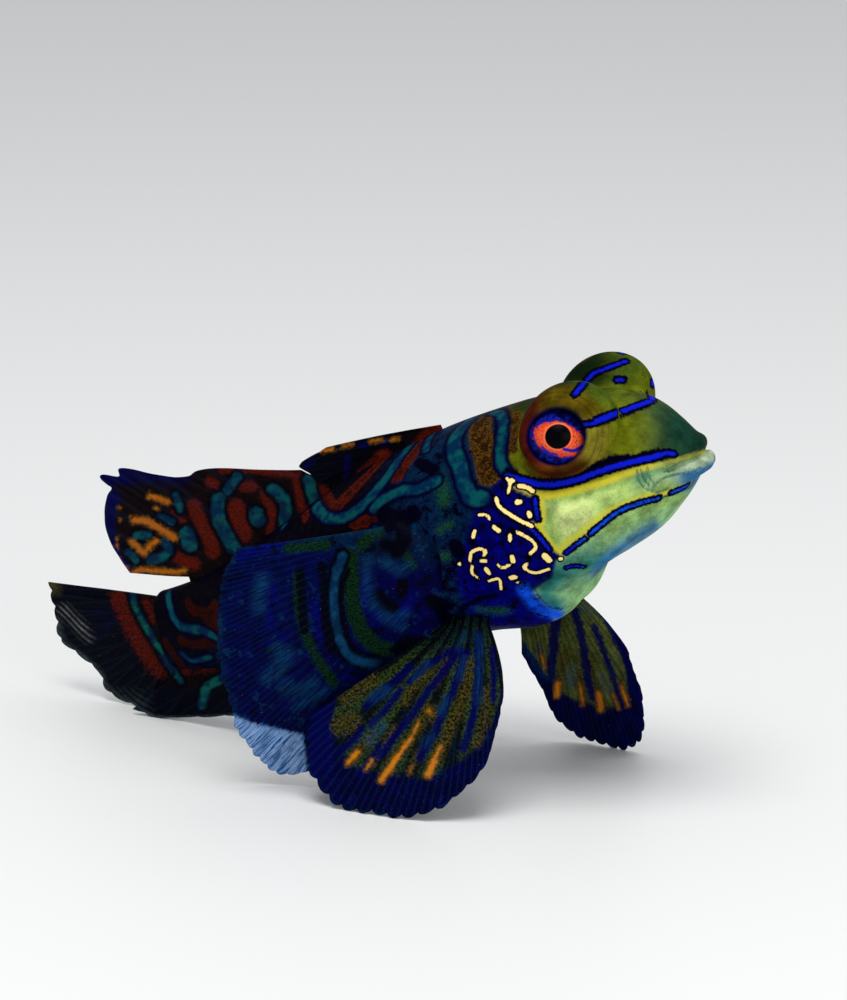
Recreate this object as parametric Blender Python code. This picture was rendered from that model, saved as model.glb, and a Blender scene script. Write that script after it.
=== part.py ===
"""A life-size mandarinfish that stands on its two pelvic fins and its anal fin, head raised.

Lengths in this file are millimetres until the meshes are made. Every body piece is first drawn on a straight
fish, where a place is (s, y, h): s runs back from the snout along the backbone, y to the fish's left and h to
its back. The function place() then bends that straight fish along its backbone line.
"""
import math

import bmesh
import bpy
import numpy as np

MM = 0.001
GAP = 0.3  # clear space between neighbouring pieces

# Driving sizes
HEAD_END = 20.2
TRUNK_END = 35.5
EYE_RADIUS = 2.15
EYE_CENTRE = (9.55, 4.9, 4.0)
EYE_AXIS = (-0.30, 0.92, 0.25)
MEMBRANE = 0.26  # half the thickness of a fin between its rays
RIDGE = 0.46  # half the thickness of a fin on a ray
NOTCH = 0.035  # how far the membrane stops short of the ray tips, as a share of the ray
FOOT_REACH = 0.6  # any stretch of a fin's edge lower than this rests flat on the floor
NO_BOW = ((0.0, 0.0, 0.0), (0.0, 0.0, 0.0))

# The backbone line: where the snout is, and how it turns and climbs on the way to the tail
SNOUT = (32.0, -1.5, 25.9)
HEAD_YAW, TAIL_YAW = -3.0, 17.0
BEND_START, BEND_END = 14.0, 40.0
PITCH_STATIONS = (0.0, 12.0, 30.0, 50.0)
PITCHES = (9.5, 19.5, 29.5, 14.5)
ROLL = 3.4
STEP = 0.1
LINE_START, LINE_END = -6.0, 80.0

# The straight fish: its outline from the side and from above, at these distances from the snout
STATIONS = (0.9, 1.4, 2.0, 3.0, 4.0, 5.5, 8.0, 10.5, 12.0, 13.5, 16.0, 19.0, 22.0, 26.0, 30.0, 36.0, 42.0, 46.0, 50.0)
BACK = (0.7, 1.2, 1.8, 3.0, 4.1, 5.1, 5.8, 6.1, 6.3, 6.35, 6.35, 6.3, 6.1, 5.8, 5.4, 4.6, 3.5, 2.8, 2.3)
BELLY = (-0.7, -1.0, -1.4, -2.5, -3.4, -4.3, -5.2, -6.0, -6.8, -7.6, -8.5, -8.7, -8.3, -7.2, -6.2, -5.0, -4.4, -4.2, -3.9)
WIDTH = (0.9, 1.4, 2.0, 3.0, 3.8, 4.7, 5.7, 6.3, 6.6, 6.8, 7.0, 6.9, 6.5, 5.7, 4.9, 3.7, 2.6, 2.0, 1.5)
WIDEST = (0.0, 0.0, -0.2, -0.5, -0.9, -1.2, -1.6, -1.9, -2.0, -2.0, -1.8, -1.5, -1.2, -0.8, -0.4, -0.2, -0.45, -0.65, -0.8)
SQUARENESS = 2.15

# Rounded swellings on the straight fish: centre, radii, how softly each blends in, and its lean to the snout
TURRET = ((8.95, 4.25, 4.1), (3.5, 2.45, 3.5), 0.8, 0.15)
CHEEK = ((12.5, 4.2, -2.6), (5.2, 2.9, 3.2), 1.6, 0.0)
THROAT = ((15.8, 1.8, -5.6), (4.6, 3.2, 3.5), 0.9, 0.0)
SWELLINGS = (TURRET, CHEEK, THROAT)


def clear_scene():
    for obj in list(bpy.data.objects):
        bpy.data.objects.remove(obj)


def smoothstep(value):
    value = np.clip(value, 0.0, 1.0)
    return value * value * (3.0 - 2.0 * value)


def backbone():
    """Points and forward directions along the backbone line, one for each STEP."""
    along = np.arange(LINE_START, LINE_END + STEP, STEP)
    turn = smoothstep((along - BEND_START) / (BEND_END - BEND_START))
    yaw = np.radians(HEAD_YAW + (TAIL_YAW - HEAD_YAW) * turn)
    pitch = np.radians(np.interp(along, PITCH_STATIONS, PITCHES))
    forward = np.stack([np.cos(pitch) * np.cos(yaw), -np.cos(pitch) * np.sin(yaw), np.sin(pitch)], 1)
    points = np.zeros_like(forward)
    points[1:] = -np.cumsum((forward[1:] + forward[:-1]) / 2 * STEP, axis=0)
    snout_index = int(round(-LINE_START / STEP))
    return points + np.array(SNOUT) - points[snout_index], forward


LINE, FORWARD = backbone()


def place(local):
    """Bends points (s, y, h) of the straight fish into the standing pose."""
    local = np.asarray(local, float).reshape(-1, 3)
    at = np.clip((local[:, 0] - LINE_START) / STEP, 0, len(LINE) - 1.001)
    low = at.astype(int)
    share = (at - low)[:, None]
    centre = LINE[low] * (1 - share) + LINE[low + 1] * share
    ahead = FORWARD[low] * (1 - share) + FORWARD[low + 1] * share
    ahead /= np.linalg.norm(ahead, axis=1, keepdims=True)
    left = np.cross([0.0, 0.0, 1.0], ahead)
    left /= np.linalg.norm(left, axis=1, keepdims=True)
    up = np.cross(ahead, left)
    cosine, sine = math.cos(math.radians(ROLL)), math.sin(math.radians(ROLL))
    return centre + (left * cosine + up * sine) * local[:, 1:2] + (up * cosine - left * sine) * local[:, 2:3]


def profile(values, s):
    """A smooth curve through the outline's values at STATIONS (monotone cubic)."""
    x, y = np.array(STATIONS), np.array(values)
    slope = np.diff(y) / np.diff(x)
    tangent = np.concatenate([[slope[0]], (slope[1:] + slope[:-1]) / 2, [slope[-1]]])
    flat = slope[1:] * slope[:-1] <= 0
    tangent[1:-1][flat] = 0.0
    k = np.clip(np.searchsorted(x, s, side="right") - 1, 0, len(x) - 2)
    span = x[k + 1] - x[k]
    t = np.clip((s - x[k]) / span, 0.0, 1.0)
    return (
        y[k] * (1 + 2 * t) * (1 - t) ** 2
        + tangent[k] * span * t * (1 - t) ** 2
        + y[k + 1] * t * t * (3 - 2 * t)
        + tangent[k + 1] * span * t * t * (t - 1)
    )


def smooth_min(a, b, softness):
    share = np.clip(0.5 + 0.5 * (b - a) / softness, 0.0, 1.0)
    return b * (1 - share) + a * share - softness * share * (1 - share)


def body_surface(s, angle):
    """Points (s, y, h) on the straight fish's skin. The angle runs from the back, 0, round its left side."""
    s, angle = np.broadcast_arrays(np.asarray(s, float), np.asarray(angle, float))
    middle = profile(WIDEST, s)
    sine, cosine = np.sin(angle), np.cos(angle)
    reach = np.where(cosine > 0, profile(BACK, s) - middle, middle - profile(BELLY, s))
    width = profile(WIDTH, s)
    base = (np.abs(sine / width) ** SQUARENESS + np.abs(cosine / reach) ** SQUARENESS) ** (-1 / SQUARENESS)
    radius = base + 6.0
    for _ in range(60):
        y, h = radius * sine, middle + radius * cosine
        field = radius - base
        for centre, radii, softness, lean in SWELLINGS:
            for side in (-1.0, 1.0):
                scaled = np.sqrt(
                    ((s + lean * (h - centre[2]) - centre[0]) / radii[0]) ** 2
                    + ((y - side * centre[1]) / radii[1]) ** 2
                    + ((h - centre[2]) / radii[2]) ** 2
                )
                field = smooth_min(field, (scaled - 1.0) * min(radii), softness)
        radius = radius - 0.6 * field
    return np.stack([s, radius * sine, middle + radius * cosine], -1)


def new_object(name, points, faces, material):
    """A mesh object whose own origin is the middle of its points."""
    points = np.asarray(points, float)
    middle = points.mean(0)
    mesh = bpy.data.meshes.new(name)
    mesh.from_pydata([tuple(p * MM) for p in points - middle], [], [tuple(int(i) for i in f) for f in faces])
    mesh.update()
    mesh.materials.append(material)
    mesh.shade_smooth()
    obj = bpy.data.objects.new(name, mesh)
    bpy.context.scene.collection.objects.link(obj)
    obj.location = middle * MM
    return obj


def make_material(name, colour, roughness, metallic=0.0):
    material = bpy.data.materials.new(name)
    material.use_nodes = True
    shader = material.node_tree.nodes["Principled BSDF"]
    shader.inputs["Base Color"].default_value = (*colour, 1.0)
    shader.inputs["Roughness"].default_value = roughness
    shader.inputs["Metallic"].default_value = metallic
    return material


def grid_normals(points):
    """Unit normals of a grid of points, shape (rows, columns, 3)."""
    along = np.gradient(points, axis=0)
    across = np.gradient(points, axis=1)
    normal = np.cross(along, across)
    return normal / np.maximum(np.linalg.norm(normal, axis=2, keepdims=True), 1e-9)


def loft(name, stations, around, material, swell=0.0):
    """A closed length of the body between the first and last station, grown outwards by swell."""
    angles = np.arange(around) * 2 * math.pi / around
    local = body_surface(np.array(stations)[:, None], angles[None, :])
    rings = place(local).reshape(len(stations), around, 3)
    if swell:
        wrapped = np.concatenate([rings[:, -1:], rings, rings[:, :1]], 1)
        rings = rings - grid_normals(wrapped)[:, 1:-1] * swell
    points = list(rings.reshape(-1, 3))
    faces = []
    for i in range(len(stations) - 1):
        for j in range(around):
            a, b = i * around + j, i * around + (j + 1) % around
            c, d = b + around, a + around
            faces += [(a, d, c), (a, c, b)]
    for row, flip in ((0, False), (len(stations) - 1, True)):
        points.append(rings[row].mean(0))
        hub = len(points) - 1
        for j in range(around):
            a, b = row * around + j, row * around + (j + 1) % around
            faces.append((hub, b, a) if flip else (hub, a, b))
    return outward(new_object(name, points, faces, material))


def outward(obj):
    """Turns a closed mesh's faces outwards."""
    work = bmesh.new()
    work.from_mesh(obj.data)
    bmesh.ops.recalc_face_normals(work, faces=work.faces)
    if work.calc_volume(signed=True) < 0:
        bmesh.ops.reverse_faces(work, faces=work.faces)
    work.to_mesh(obj.data)
    work.free()
    return obj


def largest_surface(obj):
    """Keeps only the largest closed surface of a mesh."""
    work = bmesh.new()
    work.from_mesh(obj.data)
    work.faces.ensure_lookup_table()
    unseen, shells = set(work.faces), []
    while unseen:
        shell, edge = [], [unseen.pop()]
        while edge:
            face = edge.pop()
            shell.append(face)
            for other in {g for e in face.edges for g in e.link_faces}:
                if other in unseen:
                    unseen.discard(other)
                    edge.append(other)
        shells.append(shell)
    shells.sort(key=lambda faces: sum(f.calc_area() for f in faces))
    for shell in shells[:-1]:
        bmesh.ops.delete(work, geom=shell, context="FACES")
    bmesh.ops.delete(work, geom=[v for v in work.verts if not v.link_faces], context="VERTS")
    bmesh.ops.triangulate(work, faces=work.faces)
    work.to_mesh(obj.data)
    work.free()


def combine(obj, others, operation):
    """Applies one Boolean with the listed objects to obj, removes them, and keeps obj's largest surface."""
    group = bpy.data.collections.new(obj.name + "_tools")
    bpy.context.scene.collection.children.link(group)
    for other in others:
        group.objects.link(other)
    modifier = obj.modifiers.new("combine", "BOOLEAN")
    modifier.operation = operation
    modifier.solver = "EXACT"
    modifier.operand_type = "COLLECTION"
    modifier.collection = group
    bpy.context.view_layer.update()
    graph = bpy.context.evaluated_depsgraph_get()
    made = bpy.data.meshes.new_from_object(obj.evaluated_get(graph))
    obj.modifiers.clear()
    obj.data = made
    for other in others:
        bpy.data.objects.remove(other)
    bpy.data.collections.remove(group)
    largest_surface(obj)
    return obj


def ball(name, centre, radius, material, segments=20, rings=12):
    """A sphere round a placed point of the straight fish."""
    mesh = bpy.data.meshes.new(name)
    work = bmesh.new()
    bmesh.ops.create_uvsphere(work, u_segments=segments, v_segments=rings, radius=radius * MM)
    bmesh.ops.triangulate(work, faces=work.faces)
    work.to_mesh(mesh)
    work.free()
    mesh.materials.append(material)
    mesh.shade_smooth()
    obj = bpy.data.objects.new(name, mesh)
    bpy.context.scene.collection.objects.link(obj)
    obj.location = place(centre)[0] * MM
    return obj


def tube(name, path, radii, sides, material):
    """A closed tube through placed points, with its own radius at each."""
    path = np.asarray(path, float)
    tangent = np.gradient(path, axis=0)
    tangent /= np.linalg.norm(tangent, axis=1, keepdims=True)
    points, faces = [], []
    for centre, direction, radius in zip(path, tangent, radii):
        first = np.cross(direction, [0.0, 0.0, 1.0])
        first /= np.linalg.norm(first)
        second = np.cross(direction, first)
        for k in range(sides):
            turn = 2 * math.pi * k / sides
            points.append(centre + radius * (math.cos(turn) * first + math.sin(turn) * second))
    for i in range(len(path) - 1):
        for k in range(sides):
            a, b = i * sides + k, i * sides + (k + 1) % sides
            faces += [(a, b, b + sides), (a, b + sides, a + sides)]
    faces.append(tuple(reversed(range(sides))))
    faces.append(tuple(range((len(path) - 1) * sides, len(path) * sides)))
    return outward(new_object(name, points, faces, material))


def curve_through(guides, count):
    """Evenly numbered points on a smooth curve through guide points (Catmull-Rom)."""
    guides = np.asarray(guides, float)
    padded = np.vstack([2 * guides[0] - guides[1], guides, 2 * guides[-1] - guides[-2]])
    at = np.linspace(0, len(guides) - 1, count)
    k = np.minimum(at.astype(int), len(guides) - 2)
    t = (at - k)[:, None]
    p0, p1, p2, p3 = (padded[k + i] for i in range(4))
    return 0.5 * (
        2 * p1 + (p2 - p0) * t + (2 * p0 - 5 * p1 + 4 * p2 - p3) * t**2 + (3 * p1 - p0 - 3 * p2 + p3) * t**3
    )


def fin(name, roots, tips, rays, rows, material, bows=NO_BOW, median=True, fleshy=0.0, fleshy_reach=0.3):
    """A thin fan of rays between guide points for the roots and the tips, first ray to last.

    A fin on the midline is drawn on the straight fish and bent with it. A paired fin is drawn as it stands,
    and a bow is its rays' sideways sag. Each ray is a ridge raised in the membrane's own surface, on both
    faces, and its tip stands a little past the membrane. A fleshy fin thickens towards its root.
    """
    columns = 2 * rays - 1
    root, tip, bow = (curve_through(guides, columns)[None] for guides in (roots, tips, bows))
    on_ray = (np.arange(columns) % 2 == 0)[None, :, None]
    reach = np.linspace(0, 1, rows)[:, None, None] * np.where(on_ray, 1.0, 1.0 - NOTCH)
    middle = root * (1 - reach) + tip * reach + bow * 4 * reach * (1 - reach)
    half = np.where(on_ray, RIDGE, MEMBRANE) * (1 - 0.35 * reach)
    half = half + fleshy * smoothstep(1 - reach / fleshy_reach)
    normal = np.array([0.0, 1.0, 0.0]) if median else grid_normals(middle)
    sheets = [middle + normal * half, middle - normal * half]
    points = np.concatenate([sheet.reshape(-1, 3) for sheet in sheets])
    if median:
        points = place(points)
    points[:, 2] = np.maximum(points[:, 2], 0.0)
    edge = np.tile(np.arange(rows * columns) >= (rows - 1) * columns, 2)
    points[edge & (points[:, 2] < FOOT_REACH), 2] = 0.0
    size = rows * columns
    faces = []
    for i in range(rows - 1):
        for j in range(columns - 1):
            a, b = i * columns + j, i * columns + j + 1
            c, d = b + columns, a + columns
            faces += [(a, b, c), (a, c, d), (a + size, c + size, b + size), (a + size, d + size, c + size)]
    rim = [j for j in range(columns)]
    rim += [i * columns + columns - 1 for i in range(1, rows)]
    rim += [(rows - 1) * columns + j for j in range(columns - 2, -1, -1)]
    rim += [i * columns for i in range(rows - 2, 0, -1)]
    for a, b in zip(rim, rim[1:] + rim[:1]):
        faces += [(a, a + size, b + size), (a, b + size, b)]
    return outward(new_object(name, points, faces, material))


# Lips, mouth and nostrils on the straight fish, right side; the left is mirrored
UPPER_LIP = ((4.3, -2.9, 0.1), (3.4, -2.6, 0.4), (2.6, -2.0, 0.6), (2.0, -1.15, 0.75), (1.8, 0.0, 0.8))
UPPER_LIP_RADII = (0.3, 0.42, 0.5, 0.55, 0.55)
LOWER_LIP = ((4.0, -2.6, -0.8), (3.1, -2.3, -0.7), (2.3, -1.85, -0.6), (1.7, -1.1, -0.5), (1.5, 0.0, -0.45))
LOWER_LIP_RADII = (0.35, 0.48, 0.58, 0.64, 0.66)
CLEFT = ((5.2, -4.2, -0.6), (4.2, -3.7, -0.3), (3.2, -3.4, 0.0), (2.0, -2.8, 0.15), (1.1, -1.6, 0.22), (0.7, 0.0, 0.25))
CLEFT_DEPTH = 1.0
CLEFT_HEIGHT = 0.16
NOSTRIL = (6.1, -3.3, 4.6)
NOSTRIL_RADII = (0.42, 0.2)

# Fins, as guide points on the straight fish from the first ray to the last
FIRST_DORSAL_ROOTS = (19.2, 22.4, 25.4, 28.0)
FIRST_DORSAL_TIPS = ((31.1, 0.0, 8.2), (30.6, 0.0, 7.6), (29.8, 0.0, 6.75), (28.95, 0.0, 5.95))
SECOND_DORSAL_ROOTS = (29.3, 31.7, 34.1, 36.5, 38.9, 41.3, 43.7, 45.8)
SECOND_DORSAL_TIPS = (
    (31.95, 0.0, 8.1),
    (37.2, 0.0, 9.65),
    (42.0, 0.0, 10.8),
    (45.8, 0.0, 11.1),
    (49.0, 0.0, 11.4),
    (52.3, 0.0, 12.1),
    (54.8, 0.0, 9.4),
    (54.2, 0.0, 3.9),
)
ANAL_ROOTS = (29.0, 31.8, 34.6, 37.4, 40.2, 43.0, 45.8, 48.6)
ANAL_TIPS = (
    (33.0, 0.0, -9.4),
    (37.0, 0.0, -9.3),
    (41.0, 0.0, -8.8),
    (44.6, 0.0, -8.3),
    (47.6, -0.2, -7.9),
    (50.4, -0.5, -7.7),
    (53.3, -1.0, -7.35),
    (55.4, -1.6, -6.4),
)
CAUDAL_ROOT_S = 50.35
CAUDAL_ROOT_HEIGHTS = (1.7, -3.2)
CAUDAL_TIPS = (
    (62.7, 0.0, 4.1),
    (62.8, 0.0, 2.5),
    (63.0, 0.0, 0.9),
    (63.1, 0.0, -0.7),
    (61.4, 0.0, -2.1),
    (59.8, 0.0, -3.6),
    (59.2, 0.1, -5.1),
    (57.2, 0.4, -6.4),
    (54.8, 0.7, -7.05),
    (52.8, 1.1, -7.2),
)
RIGHT_PECTORAL_ROOTS = ((21.2, -7.9, 1.9), (20.4, -8.2, 0.1), (20.6, -8.15, -2.0), (22.0, -7.25, -4.3))
RIGHT_PECTORAL_TIPS = (
    (30.8, -11.1, 4.4),
    (32.8, -11.9, 2.2),
    (34.3, -12.3, -0.8),
    (35.4, -12.2, -3.7),
    (36.5, -11.2, -7.0),
    (37.2, -9.7, -10.5),
    (36.1, -8.0, -12.6),
    (32.0, -6.4, -12.6),
)
LEFT_PECTORAL_ROOTS = ((21.2, 7.8, 1.9), (20.6, 8.1, 0.1), (20.8, 8.0, -2.0), (22.0, 7.4, -4.0))
LEFT_PECTORAL_TIPS = (
    (33.0, 7.0, 3.6),
    (34.8, 6.8, 1.9),
    (35.8, 6.8, 0.0),
    (36.0, 7.0, -2.0),
    (35.6, 7.4, -4.0),
    (34.6, 7.8, -6.0),
    (32.6, 8.2, -7.6),
    (29.4, 8.6, -8.2),
)
RIGHT_PECTORAL_BOWS = ((0.0, -0.6, 0.0), (0.0, -0.4, 0.0), (0.0, 0.4, 0.0), (-0.4, 1.3, 0.0))
# The pelvic fins in the room's own frame, as they stand on the floor
RIGHT_PELVIC_BOWS = ((0.2, -0.8, 0.0), (0.0, -1.0, 0.0))
LEFT_PELVIC_BOWS = ((0.3, 0.5, 0.0), (0.0, 0.5, 0.0))
RIGHT_PELVIC_ROOTS = ((16.4, -7.6, 13.5), (15.0, -7.8, 13.3), (13.4, -7.8, 12.9))
RIGHT_PELVIC_TIPS = (
    (19.0, -9.7, 8.4),
    (18.3, -10.9, 4.6),
    (16.3, -11.7, 1.8),
    (13.2, -12.4, 0.0),
    (10.2, -12.6, 0.0),
    (7.0, -12.5, 0.2),
    (4.5, -11.7, 2.6),
    (4.3, -10.4, 6.0),
)
LEFT_PELVIC_ROOTS = ((18.6, 3.1, 13.8), (17.2, 3.4, 13.4), (15.0, 3.7, 12.4))
LEFT_PELVIC_TIPS = (
    (21.9, 6.0, 8.6),
    (22.7, 7.8, 4.5),
    (22.4, 9.2, 1.5),
    (20.8, 9.9, 0.0),
    (18.6, 10.0, 0.0),
    (16.6, 9.9, 0.4),
    (15.1, 9.0, 2.2),
    (14.7, 7.9, 4.6),
    (13.8, 6.7, 7.2),
)


def centre_on_floor():
    """Hangs every piece on one empty and puts the world's origin under the middle of the whole fish's box."""
    bpy.context.view_layer.update()
    pieces = [obj for obj in bpy.data.objects if obj.type == "MESH"]
    corners = np.array([tuple(obj.matrix_world @ v.co) for obj in pieces for v in obj.data.vertices])
    low, high = corners.min(0), corners.max(0)
    whole = bpy.data.objects.new("mandarinfish", None)
    bpy.context.scene.collection.objects.link(whole)
    for obj in pieces:
        obj.parent = whole
    whole.location = (-(low[0] + high[0]) / 2, -(low[1] + high[1]) / 2, 0.0)


def mirrored(path):
    """A right-side path carried over the snout and on down the left side."""
    path = [tuple(p) for p in path]
    return path + [(s, -y, h) for s, y, h in reversed(path[:-1])]


def above_back(s, clear):
    return (s, 0.0, float(profile(BACK, s)) + clear)


def below_belly(s, clear):
    return (s, 0.0, float(profile(BELLY, s)) - clear)


def cleft_tool():
    """A thin curved blade along the line of the mouth."""
    outer = curve_through(mirrored(CLEFT), 25)
    inner = outer.copy()
    inner[:, 0] = outer[:, 0] * 0.55 + 5.0 * 0.45
    inner[:, 1] = outer[:, 1] * 0.45
    inner[:, 2] = outer[:, 2] * 0.7
    lift = np.array([0.0, 0.0, CLEFT_HEIGHT / 2])
    sheets = [place(outer + lift), place(inner + lift), place(inner - lift), place(outer - lift)]
    count = len(outer)
    points = np.concatenate(sheets)
    faces = []
    for i in range(count - 1):
        for k in range(4):
            a, b = k * count + i, (k + 1) % 4 * count + i
            faces += [(a, a + 1, b + 1, b)]
    faces += [(0, count, 2 * count, 3 * count), tuple(k * count + count - 1 for k in (3, 2, 1, 0))]
    return outward(new_object("mouth_cleft", points, faces, SKIN))


def lid_ring(side):
    """A thick rim of skin round one eye."""
    centre = np.array([EYE_CENTRE[0], side * EYE_CENTRE[1], EYE_CENTRE[2]])
    axis = np.array([EYE_AXIS[0], side * EYE_AXIS[1], EYE_AXIS[2]])
    axis /= np.linalg.norm(axis)
    first = np.cross(axis, [0.0, 0.0, 1.0])
    first /= np.linalg.norm(first)
    second = np.cross(first, axis)
    turns, sides = 28, 8
    points, faces = [], []
    for i in range(turns):
        angle = 2 * math.pi * i / turns
        radial = math.cos(angle) * first + math.sin(angle) * second
        middle = centre + axis * LID_HEIGHT + radial * LID_RADIUS
        for k in range(sides):
            turn = 2 * math.pi * k / sides
            points.append(middle + LID_THICKNESS * (math.cos(turn) * radial + math.sin(turn) * axis))
    for i in range(turns):
        for k in range(sides):
            a, b = i * sides + k, i * sides + (k + 1) % sides
            c, d = (i + 1) % turns * sides + (k + 1) % sides, (i + 1) % turns * sides + k
            faces += [(a, b, c, d)]
    return outward(new_object("lid", place(points), faces, SKIN))


def build_head():
    stations = (1.55, 1.9, 2.5, 3.3, 4.2, 5.1, 6.0, 6.9, 7.8, 8.7, 9.6, 10.5, 11.5, 12.6, 13.8, 15.2, 16.8, 18.4,
                HEAD_END - GAP / 2)
    head = loft("head", stations, 44, SKIN)
    added = []
    for path, radii in ((UPPER_LIP, UPPER_LIP_RADII), (LOWER_LIP, LOWER_LIP_RADII)):
        line = curve_through(mirrored(path), 21)
        full = np.array(radii + tuple(reversed(radii[:-1])))
        sizes = np.interp(np.linspace(0, len(full) - 1, 21), np.arange(len(full)), full)
        added.append(tube("lip", place(line), sizes, 10, SKIN))
    for side in (-1.0, 1.0):
        added.append(lid_ring(side))
        base = np.array([NOSTRIL[0], -side * NOSTRIL[1], NOSTRIL[2]])
        out = np.array([-0.35, side * 0.45, 0.8])
        added.append(tube("nostril", place([base - out, base + out * 0.5]), (NOSTRIL_RADII[0],) * 2, 10, SKIN))
    combine(head, added, "UNION")
    removed = [cleft_tool()]
    for side in (-1.0, 1.0):
        socket = (EYE_CENTRE[0], side * EYE_CENTRE[1], EYE_CENTRE[2])
        removed.append(ball("socket", socket, EYE_RADIUS + GAP, SKIN, 24, 14))
        base = np.array([NOSTRIL[0], -side * NOSTRIL[1], NOSTRIL[2]])
        out = np.array([-0.35, side * 0.45, 0.8])
        removed.append(tube("nostril_bore", place([base - out * 0.3, base + out]), (NOSTRIL_RADII[1],) * 2, 8, SKIN))
    return combine(head, removed, "DIFFERENCE")


LID_RADIUS = 2.15
LID_HEIGHT = 1.05
LID_THICKNESS = 0.42

clear_scene()
SKIN = make_material("head_skin", (0.36, 0.42, 0.10), 0.35)
TRUNK_SKIN = make_material("trunk_skin", (0.02, 0.13, 0.17), 0.35)
TAIL_SKIN = make_material("tail_skin", (0.04, 0.10, 0.11), 0.35)
EYE = make_material("eye", (0.75, 0.16, 0.05), 0.12)
DORSAL_FIN = make_material("dorsal_fin", (0.20, 0.07, 0.02), 0.4)
CAUDAL_FIN = make_material("caudal_fin", (0.02, 0.05, 0.06), 0.4)
PECTORAL_FIN = make_material("pectoral_fin", (0.01, 0.06, 0.24), 0.4)
PELVIC_FIN = make_material("pelvic_fin", (0.05, 0.09, 0.06), 0.4)

build_head()
for name, side in (("eye_right", -1.0), ("eye_left", 1.0)):
    ball(name, (EYE_CENTRE[0], side * EYE_CENTRE[1], EYE_CENTRE[2]), EYE_RADIUS, EYE, 24, 14)
loft("trunk", [HEAD_END + GAP / 2, 22.0, 24.0, 26.0, 28.0, 30.0, 32.0, 34.0, TRUNK_END - GAP / 2], 36, TRUNK_SKIN)
loft("tail", [TRUNK_END + GAP / 2, 37.5, 39.5, 41.5, 43.5, 45.5, 47.5, 49.0, 50.0], 28, TAIL_SKIN)

fin("first_dorsal_fin", [above_back(s, 0.35) for s in FIRST_DORSAL_ROOTS], FIRST_DORSAL_TIPS, 4, 9, DORSAL_FIN)
fin("second_dorsal_fin", [above_back(s, 0.35) for s in SECOND_DORSAL_ROOTS], SECOND_DORSAL_TIPS, 8, 12, DORSAL_FIN)
fin("anal_fin", [below_belly(s, 0.35) for s in ANAL_ROOTS], ANAL_TIPS, 8, 12, CAUDAL_FIN)
caudal_roots = [(CAUDAL_ROOT_S, 0.0, h) for h in CAUDAL_ROOT_HEIGHTS]
fin("caudal_fin", caudal_roots, CAUDAL_TIPS, 9, 12, CAUDAL_FIN)
for name, roots, tips, bows in (
    ("pectoral_fin_right", RIGHT_PECTORAL_ROOTS, RIGHT_PECTORAL_TIPS, RIGHT_PECTORAL_BOWS),
    ("pectoral_fin_left", LEFT_PECTORAL_ROOTS, LEFT_PECTORAL_TIPS, NO_BOW),
):
    fin(name, place(roots), place(tips), 15, 12, PECTORAL_FIN, bows, False, 0.5, 0.35)
for name, roots, tips, bows in (
    ("pelvic_fin_right", RIGHT_PELVIC_ROOTS, RIGHT_PELVIC_TIPS, RIGHT_PELVIC_BOWS),
    ("pelvic_fin_left", LEFT_PELVIC_ROOTS, LEFT_PELVIC_TIPS, LEFT_PELVIC_BOWS),
):
    fin(name, np.array(roots), np.array(tips), 11, 12, PELVIC_FIN, bows, False)
centre_on_floor()
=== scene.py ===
import math

import bpy
import numpy as np
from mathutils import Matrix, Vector
from mathutils.bvhtree import BVHTree
from mathutils.interpolate import poly_3d_calc


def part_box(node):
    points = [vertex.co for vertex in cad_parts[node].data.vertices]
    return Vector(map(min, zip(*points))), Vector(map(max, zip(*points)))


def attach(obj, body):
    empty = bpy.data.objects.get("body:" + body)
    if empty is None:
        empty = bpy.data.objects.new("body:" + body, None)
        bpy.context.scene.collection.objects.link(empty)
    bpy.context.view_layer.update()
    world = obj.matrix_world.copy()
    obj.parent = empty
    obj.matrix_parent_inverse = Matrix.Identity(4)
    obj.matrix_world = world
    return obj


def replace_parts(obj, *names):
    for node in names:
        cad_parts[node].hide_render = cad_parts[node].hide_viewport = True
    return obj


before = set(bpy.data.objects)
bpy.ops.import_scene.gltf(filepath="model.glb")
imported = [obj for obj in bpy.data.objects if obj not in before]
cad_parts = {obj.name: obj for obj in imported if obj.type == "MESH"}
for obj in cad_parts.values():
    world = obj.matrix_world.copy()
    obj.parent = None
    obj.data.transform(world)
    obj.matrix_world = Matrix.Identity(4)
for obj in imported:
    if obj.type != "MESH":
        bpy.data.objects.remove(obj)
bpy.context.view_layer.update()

MM = 0.001
FAR = 9.0  # a distance in millimetres that no mark reaches

# The straight fish, in millimetres: (s, y, h) is distance back from the snout, to the left, and up
SNOUT = (32.0, -1.5, 25.9)
HEAD_YAW, TAIL_YAW = -3.0, 17.0
BEND_START, BEND_END = 14.0, 40.0
PITCH_STATIONS = (0.0, 12.0, 30.0, 50.0)
PITCHES = (9.5, 19.5, 29.5, 14.5)
ROLL = 3.4
STEP = 0.1
LINE_START, LINE_END = -6.0, 80.0
STATIONS = (
    0.9, 1.4, 2.0, 3.0, 4.0, 5.5, 8.0, 10.5, 12.0, 13.5, 16.0, 19.0, 22.0, 26.0, 30.0, 36.0, 42.0, 46.0, 50.0)
BACK = (0.7, 1.2, 1.8, 3.0, 4.1, 5.1, 5.8, 6.1, 6.3, 6.35, 6.35, 6.3, 6.1, 5.8, 5.4, 4.6, 3.5, 2.8, 2.3)
BELLY = (
    -0.7, -1.0, -1.4, -2.5, -3.4, -4.5, -5.5, -6.2, -6.7, -7.3, -8.4, -8.7, -8.3, -7.2, -6.2, -5.0, -4.4,
    -4.2, -3.9)
WIDTH = (0.9, 1.4, 2.0, 3.0, 3.8, 4.7, 5.7, 6.3, 6.6, 6.8, 7.0, 6.9, 6.5, 5.7, 4.9, 3.7, 2.6, 2.0, 1.5)
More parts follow.
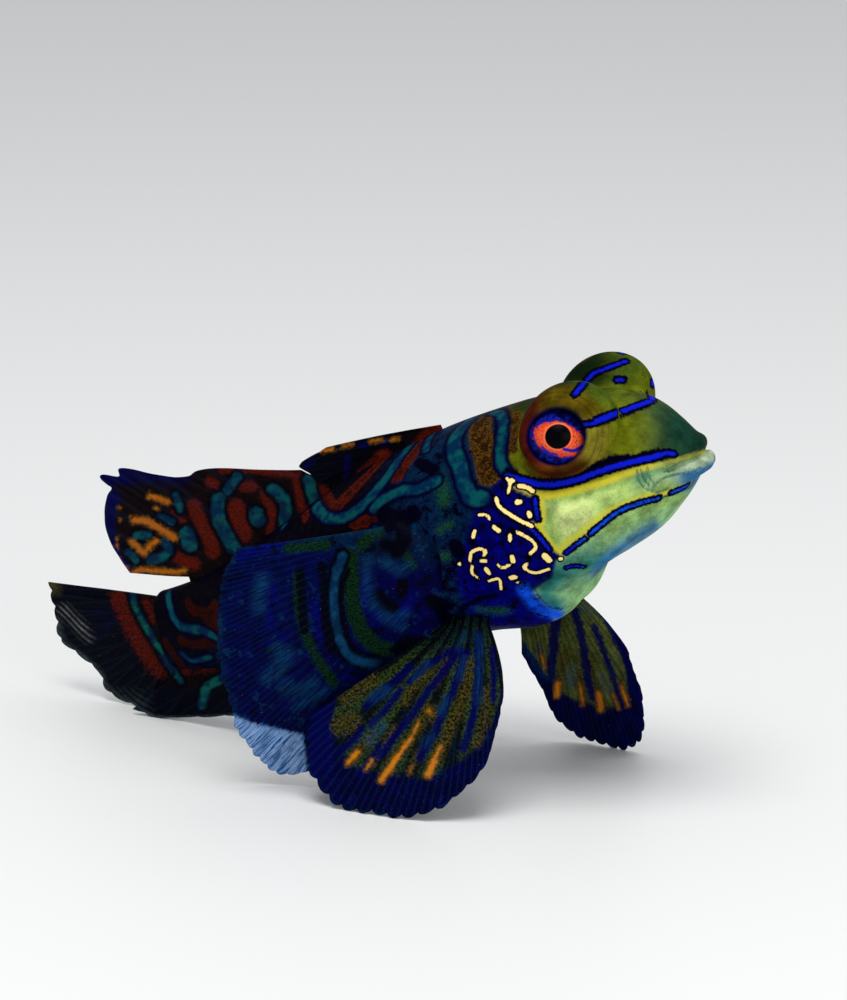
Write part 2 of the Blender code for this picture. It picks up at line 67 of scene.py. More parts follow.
WIDEST = (
    0.0, 0.0, -0.2, -0.5, -0.9, -1.2, -1.6, -1.9, -2.0, -2.0, -1.8, -1.5, -1.2, -0.8, -0.4, -0.2, -0.45,
    -0.65, -0.8)
SQUARENESS, FIELD_SLOPE = 2.15, 0.9
# Swellings of the body: middle, radii, softness of the join, and lean
TURRET = ((8.95, 4.25, 4.1), (3.5, 2.45, 3.5), 0.8, 0.15)
CHEEK = ((12.5, 4.2, -2.6), (5.2, 2.9, 3.2), 1.6, 0.0)
THROAT = ((16.2, 1.8, -5.6), (4.5, 3.2, 3.4), 0.9, 0.0)
PECTORAL_BASE = ((21.3, 5.9, -1.4), (2.3, 1.7, 3.6), 0.9, 0.0)
PELVIC_BASE = ((18.4, 3.7, -6.3), (2.2, 1.5, 1.4), 0.8, 0.0)
SWELLINGS = (TURRET, CHEEK, THROAT, PECTORAL_BASE, PELVIC_BASE)
EYE_CENTRE, EYE_AXIS, EYE_RADIUS = (9.55, 4.9, 4.0), (-0.30, 0.92, 0.25), 2.15
EYE_GAP, EYE_SOFT, EYE_REACH = 0.03, 0.08, 5.0
LID_RADIUS, LID_HEIGHT, LID_THICKNESS, LID_SOFT = 2.22, 1.0, 0.32, 0.3
OPENING_RADIUS, OPENING_FLOOR, OPENING_SOFT = 1.9, 0.4, 0.15
FRONT, FRONT_CURVE, FRONT_SOFT = 1.45, 0.09, 0.6
REAR, REAR_SOFT = 50.9, 0.8
MOUTH_END, LIP_SOFT = 6.5, 0.35
UPPER_LIP = ((4.3, 2.9, 0.1), (3.4, 2.6, 0.4), (2.6, 2.0, 0.6), (2.0, 1.15, 0.75), (1.8, 0.0, 0.8))
UPPER_LIP_RADII = (0.3, 0.42, 0.5, 0.55, 0.55)
LOWER_LIP = ((4.0, 2.6, -0.8), (3.1, 2.3, -0.7), (2.3, 1.85, -0.6), (1.7, 1.1, -0.5), (1.5, 0.0, -0.45))
LOWER_LIP_RADII = (0.35, 0.48, 0.58, 0.64, 0.66)
CLEFT = (
    (4.4, 3.35, -0.35), (3.4, 3.0, -0.12), (2.5, 2.4, 0.02), (1.75, 1.5, 0.12), (1.3, 0.7, 0.16),
    (1.2, 0.0, 0.17))
CLEFT_RADII, CLEFT_SOFT = (0.17,) * len(CLEFT), 0.15
NOSTRIL, NOSTRIL_AXIS, NOSTRIL_REACH = (6.1, 3.3, 4.6), (-0.35, 0.45, 0.8), 2.0
NOSTRIL_TOP, NOSTRIL_ROOT, NOSTRIL_RADIUS, NOSTRIL_BORE = 0.5, -1.5, 0.36, 0.17
# The box that the skin's mesh is made in, the mesh's spacing, and how it is drawn onto the true surface
SKIN_LOW, SKIN_HIGH, NET = (0.1, -8.6, -10.4), (51.6, 8.6, 8.4), 0.17
PULLS, LONGEST_PULL, LEAST_SLOPE = 3, 0.12, 0.15


def smoothstep(value):
    value = np.clip(value, 0.0, 1.0)
    return value * value * (3.0 - 2.0 * value)


def ramp(values, start, width):
    """A smooth step from 0 at start to 1 at start + width, where the width may be below zero."""
    return smoothstep((values - start) / width)


def backbone():
    along = np.arange(LINE_START, LINE_END + STEP, STEP)
    turn = ramp(along, BEND_START, BEND_END - BEND_START)
    yaw = np.radians(HEAD_YAW + (TAIL_YAW - HEAD_YAW) * turn)
    pitch = np.radians(np.interp(along, PITCH_STATIONS, PITCHES))
    forward = np.stack([np.cos(pitch) * np.cos(yaw), -np.cos(pitch) * np.sin(yaw), np.sin(pitch)], 1)
    points = np.zeros_like(forward)
    points[1:] = -np.cumsum((forward[1:] + forward[:-1]) / 2 * STEP, axis=0)
    snout_index = int(round(-LINE_START / STEP))
    return points + np.array(SNOUT) - points[snout_index], forward


LINE, FORWARD = backbone()


def place(local):
    """Bends points (s, y, h) of the straight fish into the standing pose."""
    local = np.asarray(local, float).reshape(-1, 3)
    at = np.clip((local[:, 0] - LINE_START) / STEP, 0, len(LINE) - 1.001)
    low = at.astype(int)
    share = (at - low)[:, None]
    centre = LINE[low] * (1 - share) + LINE[low + 1] * share
    ahead = FORWARD[low] * (1 - share) + FORWARD[low + 1] * share
    ahead /= np.linalg.norm(ahead, axis=1, keepdims=True)
    left = np.cross([0.0, 0.0, 1.0], ahead)
    left /= np.linalg.norm(left, axis=1, keepdims=True)
    up = np.cross(ahead, left)
    cosine, sine = math.cos(math.radians(ROLL)), math.sin(math.radians(ROLL))
    return centre + (left * cosine + up * sine) * local[:, 1:2] + (up * cosine - left * sine) * local[:, 2:3]


# The frame's origin lies under the middle of the fish's box, so one eye tells how far the drawing is shifted
low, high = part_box("eye_right")
eye_middle = np.array((low + high) / 2) / MM
SHIFT = eye_middle - place((EYE_CENTRE[0], -EYE_CENTRE[1], EYE_CENTRE[2]))[0]


def to_world(points):
    """Placed millimetres to the frame's metres."""
    return (np.asarray(points) + SHIFT) * MM


def profile(values, s):
    """One of the body's outlines at each s, as a smooth curve through its values at the stations."""
    x, y = np.array(STATIONS), np.array(values)
    slope = np.diff(y) / np.diff(x)
    tangent = np.concatenate([[slope[0]], (slope[1:] + slope[:-1]) / 2, [slope[-1]]])
    flat = slope[1:] * slope[:-1] <= 0
    tangent[1:-1][flat] = 0.0
    k = np.clip(np.searchsorted(x, s, side="right") - 1, 0, len(x) - 2)
    span = x[k + 1] - x[k]
    t = np.clip((s - x[k]) / span, 0.0, 1.0)
    return (
        y[k] * (1 + 2 * t) * (1 - t) ** 2
        + tangent[k] * span * t * (1 - t) ** 2
        + y[k + 1] * t * t * (3 - 2 * t)
        + tangent[k + 1] * span * t * t * (t - 1)
    )


def smooth_min(a, b, softness):
    share = np.clip(0.5 + 0.5 * (b - a) / softness, 0.0, 1.0)
    return b * (1 - share) + a * share - softness * share * (1 - share)


def smooth_max(a, b, softness):
    return -smooth_min(-a, -b, softness)


def segment_distance(points, a, b):
    """Distance from each point to the line from a to b, and how far along the line its foot is, 0 to 1."""
    axis = b - a
    t = np.clip((points - a) @ axis / (axis @ axis), 0.0, 1.0)
    return np.linalg.norm(points - a - t[:, None] * axis, axis=1), t


def chain_distance(points, path, radii):
    """Distance to a chain of round rods with its own radius at each joint."""
    best = np.full(len(points), np.inf)
    for a, b, start, end in zip(path[:-1], path[1:], radii[:-1], radii[1:]):
        gap, t = segment_distance(points, np.array(a), np.array(b))
        best = np.minimum(best, gap - (start + (end - start) * t))
    return best


def unit(vector):
    vector = np.array(vector, float)
    return vector / np.linalg.norm(vector)


def about_axis(points, centre, axis):
    """Each point's offset from a centre, how far it lies along an axis there, and how far out from it."""
    out, axis = points - centre, unit(axis)
    along = out @ axis
    return out, along, np.linalg.norm(out - along[:, None] * axis, axis=1)


def with_mouth(field, q):
    """The skin's field with lips and the cleft between them."""
    lips = smooth_min(field, chain_distance(q, UPPER_LIP, UPPER_LIP_RADII), LIP_SOFT)
    lips = smooth_min(lips, chain_distance(q, LOWER_LIP, LOWER_LIP_RADII), LIP_SOFT)
    return smooth_max(lips, -chain_distance(q, CLEFT, CLEFT_RADII), CLEFT_SOFT)


def with_eye(field, q):
    """The skin's field with an opening and lids over a hollow for the eyeball."""
    out, along, across = about_axis(q, EYE_CENTRE, EYE_AXIS)
    opening = np.maximum(across - OPENING_RADIUS, OPENING_FLOOR - along)
    turret = smooth_max(field, -opening, OPENING_SOFT)
    lid = np.hypot(across - LID_RADIUS, along - LID_HEIGHT) - LID_THICKNESS
    turret = smooth_min(turret, lid, LID_SOFT)
    return smooth_max(turret, EYE_RADIUS + EYE_GAP - np.linalg.norm(out, axis=1), EYE_SOFT)


def with_nostril(field, q):
    """The skin's field with a short tube and its bore."""
    _, along, across = about_axis(q, NOSTRIL, NOSTRIL_AXIS)
    tube = np.hypot(np.maximum(along - NOSTRIL_TOP, 0.0), across) - NOSTRIL_RADIUS
    tube = smooth_max(tube, NOSTRIL_ROOT - along, 0.2)
    bore = np.hypot(across, np.minimum(along + NOSTRIL_TOP, 0.0)) - NOSTRIL_BORE
    return smooth_max(smooth_min(field, tube, 0.4), -bore, 0.1)


def skin_field(p):
    """About the distance in millimetres from the straight fish's skin, below zero inside."""
    s, y, h = p[:, 0], np.abs(p[:, 1]), p[:, 2]
    q = np.stack([s, y, h], 1)
    middle = profile(WIDEST, s)
    back, belly, width = profile(BACK, s), profile(BELLY, s), profile(WIDTH, s)
    reach = np.where(h > middle, back - middle, middle - belly)
    radius = np.hypot(y, h - middle) + 1e-6
    sine, cosine = y / radius, np.abs(h - middle) / radius
    base = ((sine / width) ** SQUARENESS + (cosine / reach) ** SQUARENESS) ** (-1 / SQUARENESS)
    field = (radius - base) * FIELD_SLOPE
    for centre, radii, softness, lean in SWELLINGS:
        leant = q + np.stack([lean * (h - centre[2]), 0 * h, 0 * h], 1)
        scaled = np.linalg.norm((leant - centre) / radii, axis=1)
        field = smooth_min(field, (scaled - 1.0) * min(radii), softness)
    field = smooth_max(field, FRONT + FRONT_CURVE * y * y - s, FRONT_SOFT)
    field = smooth_max(field, s - REAR, REAR_SOFT)
    for near, detail in (
            (s < MOUTH_END, with_mouth),
            (np.abs(s - EYE_CENTRE[0]) < EYE_REACH, with_eye),
            (np.abs(s - NOSTRIL[0]) < NOSTRIL_REACH, with_nostril)):
        field[near] = detail(field[near], q[near])
    return field


def field_slope(p, delta=0.02):
    slope = np.zeros_like(p)
    for k in range(3):
        step = np.zeros(3)
        step[k] = delta
        slope[:, k] = (skin_field(p + step) - skin_field(p - step)) / (2 * delta)
    return slope


def surface_net(low, high, spacing):
    """Points and quads of the surface where skin_field is zero, from a regular grid of samples."""
    axes = [np.arange(a, b + spacing, spacing) for a, b in zip(low, high)]
    shape = [len(a) for a in axes]
    values = np.empty(shape, np.float32)
    plane = np.stack(np.meshgrid(axes[1], axes[2], indexing="ij"), -1).reshape(-1, 2)
    for i, s in enumerate(axes[0]):
        points = np.column_stack([np.full(len(plane), s), plane])
        values[i] = skin_field(points).reshape(shape[1:])
    inside = values < 0
    corners = [(i, j, k) for i in (0, 1) for j in (0, 1) for k in (0, 1)]

    def shifted(array, offset):
        return array[tuple(slice(o, o + n - 1) for o, n in zip(offset, shape))]

    count = sum(shifted(inside, c).astype(np.int8) for c in corners)
    active = (count > 0) & (count < 8)
    cells = np.argwhere(active)
    index = np.full(active.shape, -1, np.int64)
    index[active] = np.arange(len(cells))
    total, hits = np.zeros((len(cells), 3)), np.zeros(len(cells))
    for a in corners:
        for axis in range(3):
            if a[axis]:
                continue
            b = tuple(1 if k == axis else a[k] for k in range(3))
            va, vb = values[tuple((cells + a).T)], values[tuple((cells + b).T)]
            crosses = (va < 0) != (vb < 0)
            t = np.where(crosses, va / np.where(crosses, va - vb, 1.0), 0.0)
            where = np.tile(np.array(a, float), (len(cells), 1))
            where[:, axis] += t
            total[crosses] += where[crosses]
            hits += crosses
    points = (cells + total / hits[:, None]) * spacing + np.array([a[0] for a in axes])
    quads = []
    for axis in range(3):
        u, v = (axis + 1) % 3, (axis + 2) % 3
        first, second = [slice(None)] * 3, [slice(None)] * 3
        first[axis], second[axis] = slice(0, -1), slice(1, None)
        spots = np.argwhere(inside[tuple(first)] != inside[tuple(second)])
        for k in (u, v):
            spots = spots[(spots[:, k] > 0) & (spots[:, k] < shape[k] - 1)]
        around = []
        for du, dv in ((-1, -1), (0, -1), (0, 0), (-1, 0)):
            cell = spots.copy()
            cell[:, u] += du
            cell[:, v] += dv
            around.append(index[tuple(cell.T)])
        faces = np.stack(around, 1)
        leaving = inside[tuple(spots.T)]
        faces[~leaving] = faces[~leaving][:, ::-1]
        quads.append(faces)
    return points, np.concatenate(quads)


def build_skin():
    points, quads = surface_net(SKIN_LOW, SKIN_HIGH, NET)
    for _ in range(PULLS):
        slope = field_slope(points)
        step = skin_field(points) / np.maximum((slope**2).sum(1), LEAST_SLOPE)
        points = points - np.clip(step, -LONGEST_PULL, LONGEST_PULL)[:, None] * slope
    return points, quads


def new_mesh(name, points, faces, attributes):
    """A smooth mesh object in the frame's metres, with one number per point for each named attribute."""
    mesh = bpy.data.meshes.new(name)
    points = np.asarray(points, np.float32)
    faces = np.asarray(faces, np.int32)
    sides = faces.shape[1]
    mesh.vertices.add(len(points))
    mesh.vertices.foreach_set("co", points.ravel())
    mesh.loops.add(faces.size)
    mesh.loops.foreach_set("vertex_index", faces.ravel())
    mesh.polygons.add(len(faces))
    mesh.polygons.foreach_set("loop_start", np.arange(0, faces.size, sides, dtype=np.int32))
    mesh.polygons.foreach_set("loop_total", np.full(len(faces), sides, np.int32))
    mesh.update(calc_edges=True)
    mesh.validate()
    mesh.shade_smooth()
    for key, values in attributes.items():
        layer = mesh.attributes.new(key, "FLOAT", "POINT")
        layer.data.foreach_set("value", np.asarray(values, np.float32).ravel())
    obj = bpy.data.objects.new(name, mesh)
    bpy.context.scene.collection.objects.link(obj)
    return obj


def add_ground(obj, colour):
    """Keeps the ground colour of every point, for the material to read."""
    layer = obj.data.attributes.new("ground", "FLOAT_COLOR", "POINT")
    values = np.column_stack([colour, np.ones(len(colour))]).astype(np.float32)
    layer.data.foreach_set("color", values.ravel())


def grid_faces(rows, columns):
    """Quads between the neighbouring points of a grid that is numbered row by row."""
    i, j = (grid.ravel() for grid in np.meshgrid(np.arange(rows - 1), np.arange(columns - 1), indexing="ij"))
    a = i * columns + j
    return np.stack([a, a + 1, a + 1 + columns, a + columns], 1)


def curve_through(guides, count):
    """Evenly numbered points on a smooth curve through guide points (Catmull-Rom)."""
    guides = np.asarray(guides, float)
    padded = np.vstack([2 * guides[0] - guides[1], guides, 2 * guides[-1] - guides[-2]])
    at = np.linspace(0, len(guides) - 1, count)
    k = np.minimum(at.astype(int), len(guides) - 2)
    t = (at - k)[:, None]
    p0, p1, p2, p3 = (padded[k + i] for i in range(4))
    return 0.5 * (
        2 * p1 + (p2 - p0) * t + (2 * p0 - 5 * p1 + 4 * p2 - p3) * t**2 + (3 * p1 - p0 - 3 * p2 + p3) * t**3
    )


# Camera: the photograph's viewing angle, and the same camera is used to lay markings on the skin
AZIMUTH, ELEVATION = math.radians(23.8), math.radians(13.1)
CAMERA_PLACE = np.array([128.5, -272.0, 89.2])
FOCAL_PIXELS = 4221.0
PIXELS_PER_MM = 14.3
IMAGE_WIDTH, IMAGE_HEIGHT = 847.0, 1000.0
RIGHTWARD = np.array([math.cos(AZIMUTH), math.sin(AZIMUTH), 0.0])
BACKWARD = np.array([
    math.sin(AZIMUTH) * math.cos(ELEVATION), -math.cos(AZIMUTH) * math.cos(ELEVATION), math.sin(ELEVATION)])
UPWARD = np.cross(BACKWARD, RIGHTWARD)
DROP, DROP_SLACK = 2.6, 0.25  # a mark ends where the surface falls away this many times faster, and this far


def seen_at(points):
    """Where placed points stand in the picture, in pixels from its top left corner."""
    q = np.asarray(points) - CAMERA_PLACE
    depth = -(q @ BACKWARD)
    x = IMAGE_WIDTH / 2 + FOCAL_PIXELS * (q @ RIGHTWARD) / depth
    y = IMAGE_HEIGHT / 2 - FOCAL_PIXELS * (q @ UPWARD) / depth
    return np.stack([x, y], 1)


class Canvas:
    """A surface that marks can be laid on through the camera, with some values kept at each point."""

    def __init__(self, placed, faces, values):
        self.values = values
        self.faces = faces
        self.placed = placed
        self.tree = BVHTree.FromPolygons([tuple(p) for p in placed], [tuple(int(i) for i in f) for f in faces])

    def under(self, x, y):
        """The kept values where the line of sight through (x, y) meets the surface, or None."""
        ray = -BACKWARD * FOCAL_PIXELS + RIGHTWARD * (x - IMAGE_WIDTH / 2) - UPWARD * (y - IMAGE_HEIGHT / 2)
        spot, _, index, _ = self.tree.ray_cast(Vector(CAMERA_PLACE), Vector(ray))
        if spot is None:
            return None
        corners = self.faces[index]
        weight = np.array(poly_3d_calc([Vector(p) for p in self.placed[corners]], spot))
        return (self.values[corners] * weight[:, None]).sum(0)

    def trace(self, path):
        """The path laid on the surface, cut where the surface drops away behind an edge."""
        pieces, last = [[]], None
        for x, y in path:
            spot = self.under(x, y)
            if spot is None:
                continue
            if last is not None:
                step = math.hypot(x - last[0], y - last[1]) / PIXELS_PER_MM
                if np.linalg.norm(spot - last[2]) > DROP * step + DROP_SLACK:
                    pieces.append([])
            pieces[-1].append(spot)
            last = (x, y, spot)
        return [piece for piece in pieces if piece]


def stroke_distance(points, strokes):
    """Least distance from each point to the strokes, less each stroke's own half width."""
    best = np.full(len(points), FAR)
    for half, path in strokes:
        path = np.asarray(path, float)
        if len(path) == 1:
            path = np.vstack([path, path + 1e-4])
        low, high = path.min(0) - half - 1.5, path.max(0) + half + 1.5
        near = np.nonzero(((points > low) & (points < high)).all(1))[0]
        p, least = points[near], np.full(len(near), FAR)
        for a, b in zip(path[:-1], path[1:]):
            least = np.minimum(least, segment_distance(p, a, b)[0])
        best[near] = np.minimum(best[near], least - half)
    return best


def polygon_distance(spots, outline):
    """Signed distance in pixels from picture spots to a closed outline, below zero inside it."""
    corners = np.reshape(outline, (-1, 2)).astype(float)
    best = np.full(len(spots), np.inf)
    inside = np.zeros(len(spots), bool)
    for a, b in zip(corners, np.roll(corners, -1, axis=0)):
        axis = b - a
        best = np.minimum(best, segment_distance(spots, a, b)[0])
        crosses = (a[1] > spots[:, 1]) != (b[1] > spots[:, 1])
        rise = axis[1] if axis[1] else 1e-9
        inside ^= crosses & (spots[:, 0] < a[0] + (spots[:, 1] - a[1]) / rise * axis[0])
    return np.where(inside, -best, best)


def rgb(red, green, blue):
    """A screen colour, 0 to 255 for each channel, as scene-linear numbers."""
    c = np.array([red, green, blue]) / 255.0
    return np.where(c <= 0.04045, c / 12.92, ((c + 0.055) / 1.055) ** 2.4)


def layered(colour, *layers):
    """A colour at every point under layers, each a colour and the share that it covers."""
    for paint, share in layers:
        share = np.reshape(share, (-1, 1))
        colour = colour * (1 - share) + paint * share
    return colour


# Colours
OLIVE, OLIVE_DARK, SNOUT_GREEN = rgb(94, 102, 14), rgb(40, 66, 20), rgb(14, 54, 42)
CHEEK_PALE, CHEEK_GREEN, YELLOW = rgb(182, 198, 124), rgb(136, 168, 84), rgb(192, 180, 48)
JAW_PALE, JAW_TEAL, JAW_BLUE = rgb(130, 174, 118), rgb(24, 102, 98), rgb(24, 92, 150)
# The lower lip's pale colour also carries a painted highlight along its top edge
LIP_PALE_HIGHLIGHT, LIP_BLUE = rgb(158, 178, 146), rgb(46, 104, 150)
BLUE, BRIGHT_BLUE, ROYAL = rgb(10, 24, 182), rgb(10, 72, 206), rgb(4, 8, 130)
NAVY, DEEP, BLACK_BLUE = rgb(3, 2, 52), rgb(2, 1, 88), rgb(2, 1, 16)
TEAL, TEAL_DARK, SPECK_TEAL = rgb(6, 70, 74), rgb(2, 34, 62), rgb(22, 78, 76)
RUST, RUST_DARK, RUST_DIM, BROWN = rgb(86, 19, 6), rgb(20, 7, 5), rgb(50, 8, 4), rgb(86, 57, 12)
BODY_DARK, BODY_GREEN, BODY_BLUE, MOSS = rgb(3, 10, 44), rgb(8, 52, 46), rgb(4, 30, 56), rgb(28, 70, 30)
BACK_DARK, TAIL_DARK, BELLY_DARK, TOP_DARK = rgb(6, 2, 4), rgb(5, 4, 10), rgb(3, 12, 42), rgb(4, 18, 8)
TURRET_BROWN, TURRET_OLIVE = rgb(62, 16, 6), rgb(84, 70, 8)
TURRET_PALE, TURRET_RED = rgb(118, 112, 32), rgb(100, 50, 10)
SQUIGGLE = rgb(250, 222, 140)

# Marks seen in the picture: each is half its width in pixels, then the x and y of its points in turn
BLUE_LINES = (
    (3.5, 507, 476, 522, 480, 546, 485, 573, 481, 597, 472, 624, 464, 645, 459, 660, 455),
    (2.6, 660, 455, 668, 453, 674, 454), (2.4, 582, 425, 588, 424, 594, 423),
    (3.5, 597, 421, 612, 415, 634, 407, 650, 401), (2.9, 575, 394, 584, 383, 594, 373),
    (2.5, 597, 372, 610, 367, 626, 361), (2.5, 617, 380, 623, 380), (2.2, 688, 485, 683, 488, 671, 493),
    (2.2, 659, 498, 637, 504, 618, 512, 602, 524, 590, 534), (2.0, 585, 539, 576, 545, 566, 553),
    (2.6, 549, 549, 540, 538, 528, 526, 514, 518, 500, 510), (2.0, 566, 568, 574, 566, 584, 567),
    (2.5, 535, 499, 536, 508, 538, 519))
INK_LINES = (
    (4.6, 508, 472, 520, 478, 534, 482, 563, 482, 583, 476, 596, 466, 612, 460, 634, 458, 658, 453),
    (2.4, 602, 423, 615, 418, 637, 410, 649, 405), (2.0, 470, 412, 440, 424, 410, 440),
    (9.0, 384, 514, 398, 520, 412, 514), (8.0, 436, 602, 446, 606), (5.0, 442, 622, 450, 616),
    (3.0, 496, 596, 480, 598, 466, 606), (7.0, 455, 545, 459, 552), (6.0, 419, 462, 434, 470),
    (0.9, 535, 590, 540, 598, 550, 606, 561, 609))
YELLOW_LINES = (
    (2.2, 517, 486, 531, 492, 548, 495, 570, 491, 598, 484, 628, 473, 650, 466),
    (1.8, 541, 500, 543, 512, 541, 522, 532, 526),
    (1.8, 541, 528, 549, 541, 558, 550, 566, 543, 578, 535, 590, 524, 606, 513, 625, 504, 652, 494))
SQUIGGLES = (
    (1.9, 496, 498, 499, 506, 509, 514, 523, 522, 532, 526), (1.7, 517, 532, 531, 540, 536, 547, 530, 554),
    (1.6, 507, 478, 510, 484, 508, 493), (2.0, 512, 480, 513, 481), (1.5, 479, 515, 486, 515, 490, 519),
    (1.6, 470, 561, 471, 553, 479, 549, 486, 551, 484, 555), (1.5, 472, 566, 472, 573, 478, 578),
    (1.6, 498, 565, 503, 568, 509, 565), (1.7, 527, 564, 524, 568, 535, 573, 549, 569),
    (1.5, 489, 581, 499, 579, 501, 589), (2.6, 517, 502, 520, 502), (2.4, 529, 513, 530, 516),
    (2.2, 494, 527, 499, 531), (2.0, 510, 535, 510, 540), (1.9, 475, 531, 473, 537),
    (1.7, 481, 561, 486, 561), (2.4, 486, 569, 489, 573), (2.6, 512, 557, 513, 561),
    (2.6, 511, 578, 515, 577), (3.4, 545, 556, 549, 560), (2.2, 560, 559, 561, 559),
    (1.8, 459, 564, 460, 564), (1.2, 517, 583, 519, 582), (2.1, 519, 486, 526, 487, 533, 491))
TEAL_BANDS = (
    (5.0, 495, 405, 503, 420, 502, 434, 501, 448, 500, 460, 505, 470, 511, 476),
    (7.6, 487, 410, 470, 420, 456, 436, 454, 452, 460, 466, 464, 484, 472, 498, 482, 498),
    (5.6, 418, 437, 402, 455, 388, 475, 372, 495, 356, 511, 340, 518, 324, 516, 314, 500, 308, 480),
    (5.4, 374, 508, 384, 499, 400, 491, 418, 489, 436, 480),
    (6.6, 218, 499, 218, 514, 222, 527, 230, 540, 234, 548), (5.6, 272, 489, 282, 497, 286, 508, 284, 526),
    (7.4, 256, 514, 258, 519), (7.4, 187, 534, 190, 545), (4.6, 165, 542, 169, 549, 164, 556, 151, 560),
    (4.0, 136, 536, 148, 535), (3.2, 160, 516, 172, 522), (3.6, 176, 496, 180, 510),
    (3.6, 128, 552, 136, 560), (4.6, 237, 477, 228, 490),
    (4.4, 168, 594, 171, 611, 178, 624, 188, 629, 202, 630, 216, 638),
    (3.0, 133, 594, 136, 608, 147, 629, 158, 646, 169, 665, 181, 681), (3.4, 182, 654, 193, 661, 210, 657),
    (4.4, 221, 680, 207, 687, 202, 706), (4.0, 433, 434, 426, 450), (3.4, 310, 455, 318, 470),
    (3.6, 344, 458, 350, 474))
RUST_BANDS = (
    (12.0, 484, 414, 480, 430, 482, 444, 486, 458, 489, 474), (6.0, 515, 414, 516, 430, 513, 448),
    (7.4, 434, 430, 414, 453, 398, 476), (6.0, 372, 520, 364, 522, 354, 524),
    (8.4, 322, 494, 332, 508, 347, 496, 366, 476, 384, 458), (5.4, 298, 478, 302, 500, 306, 518),
    (8.6, 236, 508, 240, 521, 243, 534), (5.0, 242, 486, 252, 487), (4.0, 264, 494, 272, 512, 270, 532),
    (6.4, 194, 506, 201, 524, 210, 540, 213, 552), (6.0, 179, 557, 186, 562, 194, 564),
    (2.6, 174, 512, 183, 521), (4.6, 210, 482, 214, 484), (3.2, 222, 470, 242, 469, 262, 471, 292, 475),
    (8.4, 119, 598, 126, 614, 137, 636, 149, 656, 160, 670), (3.6, 146, 602, 154, 620),
    (5.0, 188, 602, 194, 611, 210, 613), (4.6, 181, 641, 195, 645, 212, 642),
    (5.0, 166, 643, 175, 656, 186, 672), (3.2, 198, 668, 212, 669))
ORANGE_MARKS = (
    (3.8, 150, 496, 158, 498, 167, 502), (4.6, 134, 520, 146, 521, 157, 527, 168, 534, 174, 538),
    (3.8, 132, 542, 138, 547, 143, 553, 150, 546, 156, 541), (2.4, 156, 508, 158, 509),
    (1.8, 117, 538, 117, 547), (1.4, 119, 507, 120, 508), (1.4, 120, 519, 120, 520),
    (1.8, 119, 559, 122, 564, 128, 568), (3.6, 132, 574, 142, 570, 156, 571, 168, 572, 184, 571),
    (2.6, 320, 451, 333, 449), (2.6, 343, 446, 352, 444), (2.6, 371, 441, 381, 440),
    (2.2, 391, 440, 399, 438))
GREEN_MARKS = (
    (7.0, 436, 476, 442, 488, 444, 500), (5.0, 418, 548, 424, 560, 420, 574),
    (5.0, 478, 609, 492, 611, 506, 611), (6.0, 404, 560, 414, 572), (5.0, 432, 560, 446, 556),
    (4.0, 440, 530, 450, 524))
# Creases at the mouth: they dent the skin's bump, and their darker teal is painted shade in the folds
WRINKLES = (
    (0.5, 637, 470, 639, 480, 645, 488, 650, 490), (0.5, 641, 468, 644, 478, 650, 486),
    (0.5, 647, 467, 649, 476, 654, 483), (0.6, 652, 488, 660, 480, 672, 475, 690, 472, 700, 468),
    (0.5, 650, 490, 658, 492, 668, 488))
# Marks that the picture doesn't show: half width in mm, then distance from the snout and angle from the back
FLANK_TEAL = tuple(
    (0.34, s, 64, s + 1.3, 80, s - 0.5, 98, s + 1.5, 118, s + 0.2, 140) for s in (24.0, 28.2, 32.4, 36.6, 40.8))
FLANK_RUST = tuple(
    (0.5, s, 66, s + 1.2, 82, s - 0.3, 98, s + 1.5, 118, s + 0.6, 136) for s in (26.1, 30.3, 34.5, 38.7, 42.9))
SKIN_MARKS = {
    "blue": (BLUE_LINES,), "ink": (INK_LINES,), "yellow": (YELLOW_LINES,), "squiggle": (SQUIGGLES,),
    "teal": (TEAL_BANDS, FLANK_TEAL), "rust": (RUST_BANDS, FLANK_RUST), "green": (GREEN_MARKS,),
    "wrinkle": (WRINKLES,)}
# Outlines of broad patches, as the x and y of their corners in picture pixels
CHEEK_PATCH = (
    541, 522, 539, 510, 538, 498, 531, 493, 548, 495, 570, 491, 598, 482, 628, 472, 655, 464, 678, 458,
    712, 448, 718, 470, 700, 474, 690, 486, 669, 494, 637, 504, 618, 512, 602, 524, 588, 536, 576, 545,
    560, 555, 549, 546, 540, 534, 532, 524)
JAW_PATCH = (
    556, 562, 560, 556, 588, 538, 602, 526, 618, 514, 637, 506, 669, 496, 690, 488, 700, 474, 760, 480,
    720, 560, 660, 600, 640, 640, 560, 650, 553, 618, 545, 606, 532, 592, 540, 586, 552, 578)
GILL_PATCH = (
    500, 474, 512, 482, 531, 493, 538, 498, 539, 510, 541, 522, 532, 524, 540, 534, 549, 546, 558, 556,
    566, 562, 555, 572, 536, 586, 530, 594, 548, 608, 560, 620, 545, 640, 500, 645, 470, 620, 458, 585,
    456, 560, 466, 540, 474, 512, 490, 494)
HEAD_PATCH = (
    498, 380, 508, 408, 508, 430, 511, 446, 507, 462, 512, 482, 531, 493, 560, 500, 700, 480, 760, 470,
    760, 300, 498, 300)


def at_angle(s, degrees):
    """The skin's point on the left side at a distance from the snout and an angle from the back."""
    sine, cosine = math.sin(math.radians(degrees)), math.cos(math.radians(degrees))
    middle = float(profile(WIDEST, s))
    reach = float(profile(BACK, s)) - middle if cosine > 0 else middle - float(profile(BELLY, s))
    width = float(profile(WIDTH, s))
    radius = (abs(sine / width) ** SQUARENESS + abs(cosine / reach) ** SQUARENESS) ** (-1 / SQUARENESS)
    return (s, radius * sine, middle + radius * cosine)


def smooth_path(path):
    """Points on a smooth curve through a mark's points."""
    path = np.reshape(path, (-1, 2)).astype(float)
    return curve_through(path, 4 * len(path) - 3) if len(path) > 2 else path


